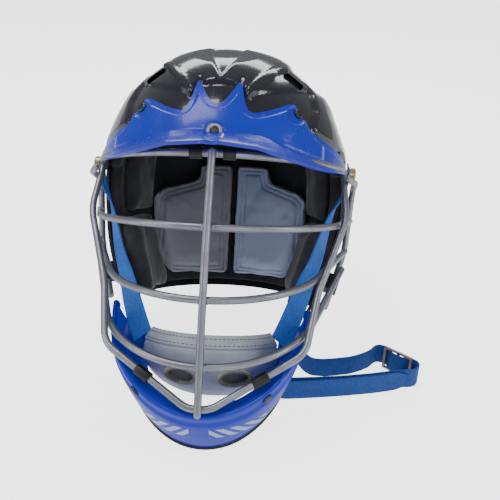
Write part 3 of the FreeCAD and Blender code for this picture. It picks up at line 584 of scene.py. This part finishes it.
# -------------------------------------------------- screws, washer and clamps
# Turned screws hold the visor to the shell, the middle one on a bright washer,
# and two black sleeves grip the top bar.  Bare metal with a little grime.
metal_wear, inlet, outlet = shader_group(
    "metal_wear",
    [("Where", "Vector", None), ("Base", "Color", (0.5, 0.5, 0.5, 1)),
     ("Grime", "Color", (0.05, 0.05, 0.05, 1)), ("Amount", "Float", 0.5), ("Gloss", "Float", 0.3)],
    [("Color", "Color"), ("Roughness", "Float"), ("Height", "Float")],
)
spot = inlet.outputs["Where"]
stain = ramp_node(metal_wear, noise_node(metal_wear, spot, 90, 6, 0.65), [(0.45, 0.0), (0.72, 1.0)])
specks = noise_node(metal_wear, spot, 900, 3)
share = sum_node(metal_wear, "MULTIPLY", stain, inlet.outputs["Amount"])
stained = mix_colour(metal_wear, share, inlet.outputs["Base"], inlet.outputs["Grime"])
wire_up(metal_wear, (stained, outlet.inputs["Color"]))
rough = sum_node(metal_wear, "MULTIPLY_ADD", share, 0.3, inlet.outputs["Gloss"])
rough = sum_node(metal_wear, "MULTIPLY_ADD", specks, 0.18, rough)
wire_up(metal_wear, (rough, outlet.inputs["Roughness"]), (specks, outlet.inputs["Height"]))


def worn_metal(name, base, grime, amount, gloss, metallic=1.0):
    """A metal or metal-coloured finish made from the metal_wear effect."""
    material, tree, shader, where = new_finish(name, gloss, metallic)
    use_effect(
        tree, shader, metal_wear, where.outputs["Object"], 0.3, 0.00008,
        Base=base, Grime=grime, Amount=amount, Gloss=gloss,
    )
    return material


black_screw = worn_metal("black_screw", (0.05, 0.05, 0.055), (0.2, 0.2, 0.22), 0.5, 0.28, 0.8)
for node in ("visor_side_screws", "visor_centre_screw", "chin_screws"):
    clothe(cad[node], black_screw)
bright_washer = worn_metal("bright_washer", (0.72, 0.73, 0.76), (0.2, 0.2, 0.2), 0.4, 0.14)
clothe(cad["visor_centre_washer"], bright_washer)
sleeve_plastic = worn_plastic("black_sleeve_plastic", (0.012, 0.012, 0.013), (0.12, 0.12, 0.12), 0.4, 0.42)[0]
for node in ("top_bar_clamps", "jaw_clips"):
    clothe(cad[node], sleeve_plastic)

# ------------------------------------------------------------------ the cage
# Round 6 mm steel wire, bent and welded, in a satin grey coat.  A small bead
# of weld fills the corner wherever the centre bar meets a cross bar.
wire_coat = worn_metal("satin_grey_wire", (0.33, 0.34, 0.39), (0.2, 0.19, 0.17), 0.45, 0.3, 0.85)
bars = (
    "top_bar", "upper_cross_bar", "middle_cross_bar", "lower_cross_bar",
    "perimeter_bar", "centre_bar", "side_bar_left", "side_bar_right",
)
for node in bars:
    clothe(cad[node], wire_coat)



def repeat(piece, places):
    """Swaps the piece's mesh for one copy of it at each place."""
    seed = piece.data.copy()
    joined = bmesh.new()
    for place in places:
        single = seed.copy()
        single.transform(place)
        joined.from_mesh(single)
    joined.to_mesh(piece.data)
    joined.free()


# Where the centre bar crosses each bar, as (depth, height).
WELDS = [(-133.8, 50.0), (-147.6, -6.6), (-160.5, -61.3), (-166.8, -112.0)]
bpy.ops.mesh.primitive_uv_sphere_add(segments=16, ring_count=10, radius=1)
beads = added("weld_beads")
bead_form = Matrix.Diagonal((1.9, 1.7, 3.0, 1))
repeat(beads, [
    Matrix.Translation((side * 3.4, y - 2.4, z)) @ bead_form for y, z in WELDS for side in (-1, 1)
])
smooth_faces(beads, 60)
clothe(beads, wire_coat)
set_down(beads)

# ------------------------------------------------------- the liner and pads
# Black closed-cell foam lines the shell, and soft pads with brushed covers are
# held to it.  The covers are dark, with a grey-blue one on the wearer's left.
brushed_cover, inlet, outlet = shader_group(
    "brushed_cover",
    [("Where", "Vector", None), ("Base", "Color", (0.1, 0.1, 0.1, 1)), ("Lint", "Color", (0.4, 0.4, 0.4, 1))],
    [("Color", "Color"), ("Roughness", "Float"), ("Height", "Float")],
)
spot = inlet.outputs["Where"]
fibres = noise_node(brushed_cover, spot, 900, 6, 0.7, (1, 1, 0.5))
rubbed = ramp_node(brushed_cover, noise_node(brushed_cover, spot, 24, 5, 0.6), [(0.35, 0.0), (0.75, 1.0)])
lint = sum_node(brushed_cover, "MULTIPLY", sum_node(brushed_cover, "MULTIPLY", fibres, rubbed), 0.55)
dusty = mix_colour(brushed_cover, lint, inlet.outputs["Base"], inlet.outputs["Lint"])
wire_up(
    brushed_cover, (dusty, outlet.inputs["Color"]),
    (sum_node(brushed_cover, "MULTIPLY_ADD", rubbed, -0.15, 0.9), outlet.inputs["Roughness"]),
    (fibres, outlet.inputs["Height"]),
)


def cover_cloth(name, base, lint, sheen=0.3):
    """A brushed knit cover made from the brushed_cover effect."""
    material, tree, shader, where = new_finish(name, 0.85, Sheen_Weight=sheen, Sheen_Roughness=0.5)
    use_effect(
        tree, shader, brushed_cover, where.outputs["Object"], 0.35, 0.0004, Base=base, Lint=lint,
    )
    return material


GET_UP = SET_DOWN.inverted()


def copy_of(node, name):
    """A merged copy of a CAD node, back in the worn layout and in mm."""
    piece = cad[node].copy()
    piece.data = cad[node].data.copy()
    piece.parent = None
    for key in list(piece.keys()):
        del piece[key]
    piece.name = name
    piece.data.name = name
    piece.data.materials.clear()
    bpy.context.collection.objects.link(piece)
    piece.data.transform(GET_UP)
    outward(piece)
    return piece


def stuffed(piece, voxel, puff, cap):
    """Swells a pad as its foam does, by cloth under a little pressure."""
    finish(piece, "REMESH", mode="VOXEL", voxel_size=voxel)
    before = points_of(piece).copy()
    piece.data.transform(Matrix.Scale(MILLIMETRES, 4))
    only(piece)
    cloth = piece.modifiers.new("Cloth", "CLOTH")
    cloth.settings.effector_weights.gravity = 0
    cloth.settings.use_pressure = True
    cloth.settings.uniform_pressure_force = puff
    cloth.settings.quality = 4
    for step in range(1, 21):
        bpy.context.scene.frame_set(step)
    bpy.ops.object.modifier_apply(modifier="Cloth")
    bpy.context.scene.frame_set(1)
    piece.data.transform(Matrix.Scale(1 / MILLIMETRES, 4))
    moved = points_of(piece) - before
    length = np.linalg.norm(moved, axis=1)[:, None]
    move_points(piece, before + moved * np.minimum(1, cap / np.maximum(length, 1e-6)))
    finish(piece, "SUBSURF", levels=1, render_levels=1)
    smooth_faces(piece, 60)


liner = copy_of("foam_liner", "foam_liner_skin")
finish(liner, "REMESH", mode="VOXEL", voxel_size=2.6)
finish(liner, "SMOOTH", factor=0.5, iterations=3)
places = points_of(liner)
ways = (places - DOME_MIDDLE) / (DOME_ACROSS, DOME_AHEAD, DOME_UP)
ways /= np.linalg.norm(ways, axis=1)[:, None]
base, normals = dome_points(ways)
move_points(liner, places + normals * np.minimum(shell_rise(base), 0)[:, None])
smooth_faces(liner, 50)
clothe(liner, cover_cloth("black_liner_foam", (0.012, 0.012, 0.016), (0.08, 0.08, 0.1), 0.15))
set_down(liner, stands_for=["foam_liner"])

dark_cover = cover_cloth("dark_pad_cover", (0.022, 0.022, 0.028), (0.12, 0.12, 0.14))
charcoal_cover = cover_cloth("charcoal_pad_cover", (0.3, 0.31, 0.36), (0.45, 0.46, 0.52))
grey_cover = cover_cloth("grey_blue_pad_cover", (0.42, 0.49, 0.72), (0.64, 0.69, 0.8))
BACK_PAD = [(2, 42), (37, 42), (41, 25), (72, 15), (80, 6), (81, -56), (62, -76), (34, -80), (2, -79)]


def inside_outline(points, outline):
    """How far inside a flat outline each point lies, seen from the front."""
    flat = points[:, [0, 2]]
    corners = np.array(outline, float)
    nearest = np.full(len(flat), 1e9)
    inside = np.zeros(len(flat), bool)
    for a, b in zip(corners, np.roll(corners, -1, axis=0)):
        along = b - a
        share = np.clip(((flat - a) @ along) / (along @ along), 0, 1)
        nearest = np.minimum(nearest, np.linalg.norm(flat - (a + share[:, None] * along), axis=1))
        crosses = (a[1] > flat[:, 1]) != (b[1] > flat[:, 1])
        inside ^= crosses & (flat[:, 0] < a[0] + (flat[:, 1] - a[1]) * along[0] / (along[1] or 1e-9))
    return np.where(inside, nearest, -nearest)


for side, node, cover, slot in (
    (1, "back_pad_left", grey_cover, "pad_grey"), (-1, "back_pad_right", charcoal_cover, "pad_dark"),
):
    pad = copy_of(node, node + "_cushion")
    outline = [(side * x, z) for x, z in BACK_PAD]
    keep = side_profile("pad_cutter", outline, 1)
    flat = points_of(keep)
    move_points(keep, np.stack([flat[:, 1], np.where(flat[:, 0] > 0, 180, 20), flat[:, 2]], axis=1))
    outward(keep)
    finish(pad, "BOOLEAN", operation="INTERSECT", solver="EXACT", object=keep)
    bpy.data.objects.remove(keep)
    stuffed(pad, 4.0, 4.0, 5.0)
    finish(pad, "SUBSURF", levels=1, render_levels=1)
    places = points_of(pad)
    depth = inside_outline(places, outline)
    front_face = ease(1.5, 6.0, depth)
    channels = ease(1.6, 0.0, np.abs(depth - 5.6)) + ease(1.6, 0.0, np.abs(depth - 10.2))
    to_wall = places - DOME_MIDDLE
    to_wall /= np.linalg.norm(to_wall, axis=1)[:, None]
    toward_head = np.linalg.norm((places - DOME_MIDDLE) / (99, 121, 168), axis=1) < 0.97
    shift = (1.8 * channels + 1.6 * (1 - ease(9, 13, depth))) * toward_head * front_face
    move_points(pad, places + to_wall * shift[:, None])
    smooth_faces(pad, 60)
    clothe(pad, cover)
    set_down(pad, stands_for=[node])

for node in ("brow_pad", "crown_pad", "side_pad_left", "side_pad_right", "jaw_pad_left", "jaw_pad_right"):
    pad = copy_of(node, node + "_cushion")
    stuffed(pad, 4.5, 4.0, 5.0)
    clothe(pad, dark_cover)
    set_down(pad, stands_for=[node])


def round_cord(name, points, radius):
    """A thin round cord, such as piping, along a smooth line."""
    bpy.ops.curve.primitive_nurbs_path_add()
    path = bpy.context.object
    spline = path.data.splines[0]
    while len(spline.points) < len(points):
        spline.points.add(1)
    for knot, place in zip(spline.points, points):
        knot.co = (*place, 1)
    spline.order_u = 3
    spline.use_endpoint_u = True
    path.data.resolution_u = 6
    path.data.bevel_depth = radius
    path.data.bevel_resolution = 3
    path.data.use_fill_caps = True
    only(path)
    bpy.ops.object.convert(target="MESH")
    cord = added(name)
    smooth_faces(cord, 60)
    return cord


piping_cloth = cover_cloth("grey_piping", (0.14, 0.15, 0.17), (0.35, 0.36, 0.4))
pad_in = np.array([DOME_ACROSS, DOME_AHEAD, DOME_UP]) - 27.0
for index, height in enumerate((62.5, 68.0)):
    run = []
    for x in np.linspace(-68, 68, 15):
        lift = height + 0.0016 * x * x
        rest = 1 - (x / pad_in[0]) ** 2 - ((lift - 20) / pad_in[2]) ** 2
        run.append((x, 4 - pad_in[1] * math.sqrt(max(rest, 0.02)), lift))
    piping = round_cord(f"brow_piping_{index + 1}", run, 1.5)
    clothe(piping, piping_cloth)
    set_down(piping)

# ------------------------------------------------------------ the chin guard
# A blue moulded bowl under the mouth, clipped to the cage's lower rim by two
# black sleeves.  It has a shelf behind the rim, a crease under it, pale slanted
# bars on its front and a black rubber lower edge.
MASK = Matrix.Translation((0, -40, 41)) @ Matrix.Rotation(math.radians(-124.6), 4, "X")
GUARD_PROFILE = np.array([
    (12, 8), (6, 5.4), (2.2, 3.4), (0.6, 3.6), (0, 5.2), (0, 10.5), (-0.9, 12.2), (-2.0, 13.4),
    (-2.4, 18), (-2.6, 30), (-2.0, 44), (-0.4, 54), (2.6, 59.6), (7, 62), (13, 62.6),
])
guard, grid = flat_sheet("chin_guard_bowl", 200, 70)
turn = grid[:, 0] * math.pi / 2 * 0.985
walk = np.concatenate([[0], np.cumsum(np.hypot(*np.diff(GUARD_PROFILE, axis=0).T))])
down = (1 - grid[:, 1]) / 2 * walk[-1]
inset = np.interp(down, walk, GUARD_PROFILE[:, 0])
deep = np.interp(down, walk, GUARD_PROFILE[:, 1])
slope_along = 122 + 110 * np.cos(turn)
wing_drop = np.interp(slope_along, [100, 142, 170, 184], [17, 17, 6, 0])
wing = np.interp(slope_along, [150, 190], [1, 0])
inset = np.where(deep < 8.5, inset * (1 - 0.78 * wing * (inset > 0)), inset)
deep = 3 + (deep - 3) * (59.6 - wing_drop) / 59.6 + wing_drop
share = (deep - 3) / 59.5
half_wide, ahead, start = 88 - 16 * share, 110 - 6 * share, 122 + 18 * share
plan = np.stack([half_wide * np.sin(turn), start + ahead * np.cos(turn)], axis=1)
facing = np.stack([np.sin(turn) / half_wide, np.cos(turn) / ahead], axis=1)
facing /= np.linalg.norm(facing, axis=1)[:, None]
plan -= facing * inset[:, None]
placed = np.stack([plan[:, 0], plan[:, 1], deep], axis=1)
move_points(guard, placed)
guard.data.transform(MASK)
stand_on_table(guard)
finish(guard, "SOLIDIFY", thickness=3.2, offset=-1.0)
soften(guard, 0.9)
stand_on_table(guard)
smooth_faces(guard, 40)
guard_plastic, tree, effect, where = worn_plastic(
    "royal_blue_guard_plastic", ROYAL_BLUE, SCUFFED_BLUE, 0.5, 0.26, 0.12, 0.22,
)
spot = tree.nodes.new("ShaderNodeSeparateXYZ")
turned = tree.nodes.new("ShaderNodeSeparateXYZ")
wire_up(tree, (where.outputs["Object"], spot.inputs[0]), (where.outputs["Normal"], turned.inputs[0]))
aside = sum_node(tree, "ABSOLUTE", spot.outputs["X"], 0)
slanted = sum_node(tree, "MULTIPLY_ADD", spot.outputs["Z"], 0.9, aside)
bars = sum_node(tree, "GREATER_THAN", sum_node(tree, "PINGPONG", slanted, 0.0055), 0.0024)
for high_side, low_side in (
    (aside, 0.008), (0.052, aside), (spot.outputs["Z"], 0.024), (0.037, spot.outputs["Z"]),
    (-0.2, turned.outputs["Y"]),
):
    inside = sum_node(tree, "GREATER_THAN", high_side, low_side)
    bars = sum_node(tree, "MULTIPLY", bars, inside)
wire_up(tree, (mix_colour(tree, bars, ROYAL_BLUE, (0.5, 0.62, 0.85)), effect.inputs["Base"]))
clothe(guard, guard_plastic)
set_down(guard, stands_for=["chin_guard"])

RIM_CORNER, RIM_NOSE, CLIP_ACROSS = Vector((80.5, 176, 0)), Vector((9, 225.5, 0)), 46.0
bpy.ops.mesh.primitive_cylinder_add(vertices=40, radius=4.7, depth=14)
sleeves = added("chin_clip_sleeves")
soften(sleeves, 0.9)
clip_places = []
for side in (-1, 1):
    mirror = Vector((side, 1, 1))
    run = (RIM_NOSE - RIM_CORNER) * mirror
    at = RIM_CORNER * mirror + run * ((CLIP_ACROSS - RIM_CORNER.x) / (RIM_NOSE.x - RIM_CORNER.x))
    clip_places.append(MASK @ Matrix.Translation(at) @ run.to_track_quat("Z", "Y").to_matrix().to_4x4())
repeat(sleeves, clip_places)
smooth_faces(sleeves, 40)
clothe(sleeves, sleeve_plastic)
set_down(sleeves, stands_for=["chin_clips"])

low_edge = placed[np.isclose(grid[:, 1], grid[np.argmin(np.abs(down - walk[11])), 1])]
low_edge = low_edge[np.argsort(np.arctan2(low_edge[:, 0], low_edge[:, 1] - 122))]
edging = round_cord("guard_edge_trim", low_edge[::5], 1.9)
edging.data.transform(MASK)
stand_on_table(edging)
clothe(edging, sleeve_plastic)
set_down(edging)

# ------------------------------------------------------------ temple snaps
# Brass studs in the shell at the temples, with caps that hold the chin straps
# and let them swing.
brass = worn_metal("worn_brass", (0.62, 0.47, 0.2), (0.25, 0.2, 0.12), 0.5, 0.26)
for node in ("temple_studs", "temple_caps"):
    clothe(cad[node], brass)

# ---------------------------------------------------------- the chin straps
# Bright blue coated webbing, about 19 mm wide.  Each strap hangs from its snap
# inside the cage and turns flat to the front where it is sewn to the chin cup.
webbing, inlet, outlet = shader_group(
    "webbing",
    [("Along", "Vector", None), ("Base", "Color", (0.1, 0.2, 0.6, 1)),
     ("Dark", "Color", (0.02, 0.05, 0.2, 1))],
    [("Color", "Color"), ("Roughness", "Float"), ("Height", "Float")],
)
ribs = webbing.nodes.new("ShaderNodeTexWave")
ribs.wave_type = "BANDS"
ribs.bands_direction = "X"
ribs.inputs["Scale"].default_value = 1.0
ribs.inputs["Distortion"].default_value = 1.2
ribs.inputs["Detail Scale"].default_value = 3
yarns = webbing.nodes.new("ShaderNodeTexWave")
yarns.wave_type = "BANDS"
yarns.bands_direction = "Y"
yarns.inputs["Scale"].default_value = 0.6
for threads in (ribs, yarns):
    wire_up(webbing, (inlet.outputs["Along"], threads.inputs["Vector"]))
weave = sum_node(webbing, "MULTIPLY", yarns.outputs["Fac"], 0.35)
weave = sum_node(webbing, "MULTIPLY_ADD", ribs.outputs["Fac"], 0.65, weave)
soil = ramp_node(webbing, noise_node(webbing, inlet.outputs["Along"], 0.12, 5), [(0.4, 0.0), (0.8, 0.55)])
shadow = sum_node(webbing, "MULTIPLY_ADD", sum_node(webbing, "SUBTRACT", 1.0, weave), 0.4, soil)
shaded = mix_colour(webbing, shadow, inlet.outputs["Base"], inlet.outputs["Dark"])
dull = sum_node(webbing, "MULTIPLY_ADD", weave, -0.15, 0.75)
wire_up(
    webbing, (shaded, outlet.inputs["Color"]), (dull, outlet.inputs["Roughness"]),
    (weave, outlet.inputs["Height"]),
)


def webbing_cloth(name, base, dark, across, along, sheen):
    """Woven webbing made from the webbing effect on the piece's own UV map."""
    material, tree, shader, where = new_finish(name, 0.7, Sheen_Weight=sheen)
    spread = tree.nodes.new("ShaderNodeMapping")
    spread.inputs["Scale"].default_value = (along, across, 1)
    wire_up(tree, (where.outputs["UV"], spread.inputs["Vector"]))
    use_effect(tree, shader, webbing, spread.outputs["Vector"], 0.5, 0.0004, Base=base, Dark=dark)
    return material


def through(knots, share, steps):
    """Values along a smooth curve through every knot, each knot at its own step."""
    knots = np.array(knots, float)
    padded = np.concatenate([[2 * knots[0] - knots[1]], knots, [2 * knots[-1] - knots[-2]]])
    span = np.clip(np.searchsorted(steps, share * steps[-1], side="right") - 1, 0, len(knots) - 2)
    t = ((share * steps[-1] - steps[span]) / (steps[span + 1] - steps[span]))[:, None]
    p0, p1, p2, p3 = (padded[span + k] for k in range(4))
    square, cube = 2 * p0 - 5 * p1 + 4 * p2 - p3, 3 * p1 - p0 - 3 * p2 + p3
    return 0.5 * (2 * p1 + (p2 - p0) * t + square * t**2 + cube * t**3)


def band(name, middle, across, width, thickness, cuts, taper=0.0):
    """A flat band of webbing along a line, its width turned as asked."""
    piece, grid = flat_sheet(name, cuts, 6)
    share = (grid[:, 0] + 1) / 2
    runs = np.linalg.norm(np.diff(np.array(middle, float), axis=0), axis=1)
    steps = np.concatenate([[0], np.cumsum(runs)])
    spine = through(middle, share, steps)
    sideways = through(across, share, steps)
    sideways /= np.linalg.norm(sideways, axis=1)[:, None]
    half = width / 2 * (1 - taper * ease(0.965, 1.0, share) ** 2)
    move_points(piece, spine + sideways * (grid[:, 1] * half)[:, None])
    finish(piece, "SOLIDIFY", thickness=thickness, offset=0.0)
    soften(piece, thickness * 0.3, 2)
    smooth_faces(piece, 50)
    return piece


strap_cloth = webbing_cloth("bright_blue_webbing", (0.035, 0.24, 0.88), (0.012, 0.1, 0.5), 60, 420, 0.05)
STRAP_LINE = [
    (115.3, -25, 45), (115.3, -26.5, 36), (111, -34, 20), (101, -46, 3), (94, -56, -18), (88.5, -63, -38),
    (80.5, -69.5, -58), (73.5, -76.5, -78), (66.5, -83, -96), (60, -88, -110),
]
STRAP_ACROSS = [
    (0, 1, 0.42), (0, 1, 0.42), (0.1, 1, 0.42), (0.35, 0.95, 0.3), (0.5, 0.85, 0.1), (0.6, 0.75, -0.1),
    (0.72, 0.6, -0.35), (0.85, 0.3, -0.5), (0.88, 0, -0.6), (0.85, -0.1, -0.65),
]
for side, tag in ((1, "left"), (-1, "right")):
    strap = band(
        f"chin_strap_{tag}_webbing", [(side * x, y, z) for x, y, z in STRAP_LINE],
        [(side * x, y, z) for x, y, z in STRAP_ACROSS], 19, 1.6, 110,
    )
    clothe(strap, strap_cloth)
    set_down(strap, "chin_strap", [f"chin_strap_{tag}"])

# ------------------------------------------------------------- the chin cup
# A soft cup of pale grey vinyl with a beige lining.  Two rows of stitches run
# through its top hem, and two oval air holes have ribbed collars.
CUP_MIDDLE = np.array([0.0, -72.0, -122.0])
CUP_RADII = np.array([64.0, 40.0, 42.0])
cup, grid = flat_sheet("chin_cup_vinyl", 120, 60)
CUP_TOP, CUP_BACK = -101.5, -87.0


def cup_place(sideways, upwards, outset=0.0):
    """A point on the cup's outside, from two shares between -1 and 1."""
    height = np.sin(np.interp(upwards, [-1, 1], [-1.12, math.asin((CUP_TOP - CUP_MIDDLE[2]) / CUP_RADII[2])]))
    around = np.sqrt(1 - height**2)
    edge_turn = np.arccos(np.clip((CUP_MIDDLE[1] - CUP_BACK) / (CUP_RADII[1] * around), 0.02, 1))
    turn = sideways * edge_turn
    out = np.stack([around * np.sin(turn), -around * np.cos(turn), height], axis=1)
    return CUP_MIDDLE + out * (CUP_RADII + outset)


placed = cup_place(grid[:, 0], grid[:, 1])
hem = ease(0.62, 0.66, grid[:, 1])
seam = ease(0.03, 0.0, np.abs(grid[:, 1] - 0.64))
placed += (placed - CUP_MIDDLE) / CUP_RADII * (0.9 * hem - 0.5 * seam)[:, None]
move_points(cup, placed)
finish(cup, "SOLIDIFY", thickness=3.0, offset=-1.0)
HOLE_WIDE, HOLE_HIGH = 13.5, 7.8
hole_faces = []
for side in (-1, 1):
    hole_at = cup_place(np.array([side * 0.36]), np.array([-0.12]))[0]
    hole_out = Vector((hole_at - CUP_MIDDLE) / CUP_RADII**2).normalized()
    face = Matrix.Translation(hole_at) @ hole_out.to_track_quat("Z", "Y").to_matrix().to_4x4()
    hole_faces.append((face, np.array(hole_out)))
    bpy.ops.mesh.primitive_cylinder_add(vertices=64, radius=1, depth=16)
    drill = added("hole_drill")
    drill.data.transform(face @ Matrix.Diagonal((HOLE_WIDE, HOLE_HIGH, 1, 1)))
    cut_away(cup, drill)
soften(cup, 1.1)
smooth_faces(cup, 45)
material, tree, shader, where = new_finish("pale_grey_vinyl", 0.5, Coat_Weight=0.1)
creases = noise_node(tree, where.outputs["Object"], 60, 6, 0.6)
broad = noise_node(tree, where.outputs["Object"], 28, 4)
stains = ramp_node(tree, broad, [(0.35, (0.42, 0.46, 0.5)), (0.65, (0.6, 0.66, 0.72))])
cells = tree.nodes.new("ShaderNodeTexVoronoi")
cells.inputs["Scale"].default_value = 900
wire_up(tree, (where.outputs["Object"], cells.inputs["Vector"]), (stains, shader.inputs["Base Color"]))
wire_up(tree, (ramp_node(tree, creases, [(0.3, 0.42), (0.7, 0.62)]), shader.inputs["Roughness"]))
bump(tree, shader, sum_node(tree, "MULTIPLY_ADD", creases, 2.0, cells.outputs["Distance"]), 0.4, 0.0004)
clothe(cup, material)
set_down(cup, "chin_strap", ["chin_cup"])

collar_vinyl, tree, shader, where = new_finish("beige_collar_vinyl", 0.55)
tone = noise_node(tree, where.outputs["Object"], 120, 4)
beiges = ramp_node(tree, tone, [(0.3, (0.3, 0.29, 0.24)), (0.7, (0.5, 0.49, 0.43))])
wire_up(tree, (beiges, shader.inputs["Base Color"]))
bump(tree, shader, tone, 0.3, 0.0003)
RIBS = 44
for (face, hole_out), tag in zip(hole_faces, ("right", "left")):
    bpy.ops.mesh.primitive_torus_add(
        major_segments=4 * RIBS, minor_segments=10, major_radius=10, minor_radius=1.8,
    )
    collar = added(f"cup_collar_{tag}")
    flat = points_of(collar)
    way = np.arctan2(flat[:, 1], flat[:, 0])
    rib = 1 + 0.22 * np.cos(RIBS * way)
    proud = (np.hypot(flat[:, 0], flat[:, 1]) - 10) * rib
    ring = np.stack([HOLE_WIDE * np.cos(way), HOLE_HIGH * np.sin(way), np.zeros(len(way))], axis=1)
    turn_to, middle = np.array(face.to_3x3()), np.array(face.translation)
    ring = ring @ turn_to.T + middle
    for _ in range(4):
        over = (((ring - CUP_MIDDLE) / CUP_RADII) ** 2).sum(axis=1) - 1
        ring -= hole_out * (over / (2 * ((ring - CUP_MIDDLE) / CUP_RADII**2) @ hole_out))[:, None]
    swell = np.stack([proud * np.cos(way), proud * np.sin(way), flat[:, 2] * rib], axis=1)
    move_points(collar, ring + swell @ turn_to.T)
    smooth_faces(collar, 60)
    clothe(collar, collar_vinyl)
    set_down(collar, "chin_strap")

lining, grid = flat_sheet("chin_cup_soft_lining", 90, 44)
move_points(lining, cup_place(grid[:, 0] * 0.97, grid[:, 1] * 0.97, -3.2))
finish(lining, "SOLIDIFY", thickness=2.6, offset=-1.0)
soften(lining, 1.0)
smooth_faces(lining, 45)
clothe(lining, cover_cloth("beige_cup_lining", (0.33, 0.31, 0.24), (0.5, 0.48, 0.4)))
set_down(lining, "chin_strap", ["chin_cup_lining"])

bpy.ops.mesh.primitive_uv_sphere_add(segments=8, ring_count=6, radius=0.45)
stitch = added("cup_stitches")
stitch.data.transform(Matrix.Diagonal((3.2, 1, 1, 1)))
stitch_places = []
for row in (0.74, 0.9):
    for spot_x in np.linspace(-0.92, 0.92, 34):
        here = cup_place(np.array([spot_x]), np.array([row]), 1.0)[0]
        ahead = cup_place(np.array([spot_x + 0.01]), np.array([row]), 1.0)[0]
        run = Vector(ahead - here).normalized()
        out = Vector((here - CUP_MIDDLE) / CUP_RADII**2).normalized()
        frame_of = Matrix((run, out.cross(run), out)).transposed().to_4x4()
        stitch_places.append(Matrix.Translation(here) @ frame_of)
repeat(stitch, stitch_places)
smooth_faces(stitch, 80)
material, tree, shader, where = new_finish("grey_thread", 0.8)
fuzz = noise_node(tree, where.outputs["Object"], 1500, 2)
greys = ramp_node(tree, fuzz, [(0.3, (0.16, 0.17, 0.2)), (0.7, (0.3, 0.32, 0.36))])
wire_up(tree, (greys, shader.inputs["Base Color"]))
clothe(stitch, material)
set_down(stitch, "chin_strap")

# -------------------------------------------- the loose strap and its slider
# A tail of woven blue webbing 20 mm wide hangs out of the left jaw and lies on
# its edge on the table, threaded through a flat nickel slider with a middle bar.
HALF_WEB = 10.0
SLIDER_AT, SLIDER_TURN = np.array([172.5, 113.5, 0.0]), math.radians(-36.9)


def by_slider(along, off, height):
    """A place given along and off the slider's own face, and above the table."""
    cos, sin = math.cos(SLIDER_TURN), math.sin(SLIDER_TURN)
    return tuple(SLIDER_AT + (along * cos - off * sin, along * sin + off * cos, height))


LEVEL = HALF_WEB + 2.4
loose_line = [
    (87, 148, 46), (78, 120, 22), (90, 104, 10), (122, 105.5, 11), (143, 115, 12), (153, 125.5, LEVEL),
    by_slider(-16.6, 2.55, LEVEL), by_slider(-11.1, 2.15, LEVEL), by_slider(-5.2, -2.0, LEVEL),
    by_slider(5.2, -2.0, LEVEL), by_slider(11.1, 2.15, LEVEL), by_slider(19, 2.15, LEVEL),
    (189.5, 98.5, LEVEL - 1), (184, 94.0, 10.6), (170, 92.5, 10),
    (155, 88, 10), (141, 84.3, 10), (108, 77.2, 10), (69, 71.5, 10), (65.6, 69.2, 10), (68, 67.0, 10),
    (108, 73.6, 10), (141, 80.7, 10), (155, 84.4, 10), (168, 88.4, 10), (178, 91.0, 10),
]
upright = [(0.35, 0.0, 1), (0.2, 0.1, 1)] + [(0, 0, 1)] * (len(loose_line) - 2)
loose = band("loose_strap_webbing", loose_line, upright, 20, 1.5, 420, 0.35)
clothe(loose, webbing_cloth("blue_woven_webbing", (0.015, 0.12, 0.52), (0.006, 0.03, 0.16), 70, 1300, 0.05))
loose.data.transform(Matrix.Scale(MILLIMETRES, 4))
set_down(loose, "helmet", ["loose_strap"], worn=False)
clothe(cad["strap_slider"], worn_metal("dull_nickel", (0.36, 0.32, 0.27), (0.12, 0.1, 0.08), 0.5, 0.34))
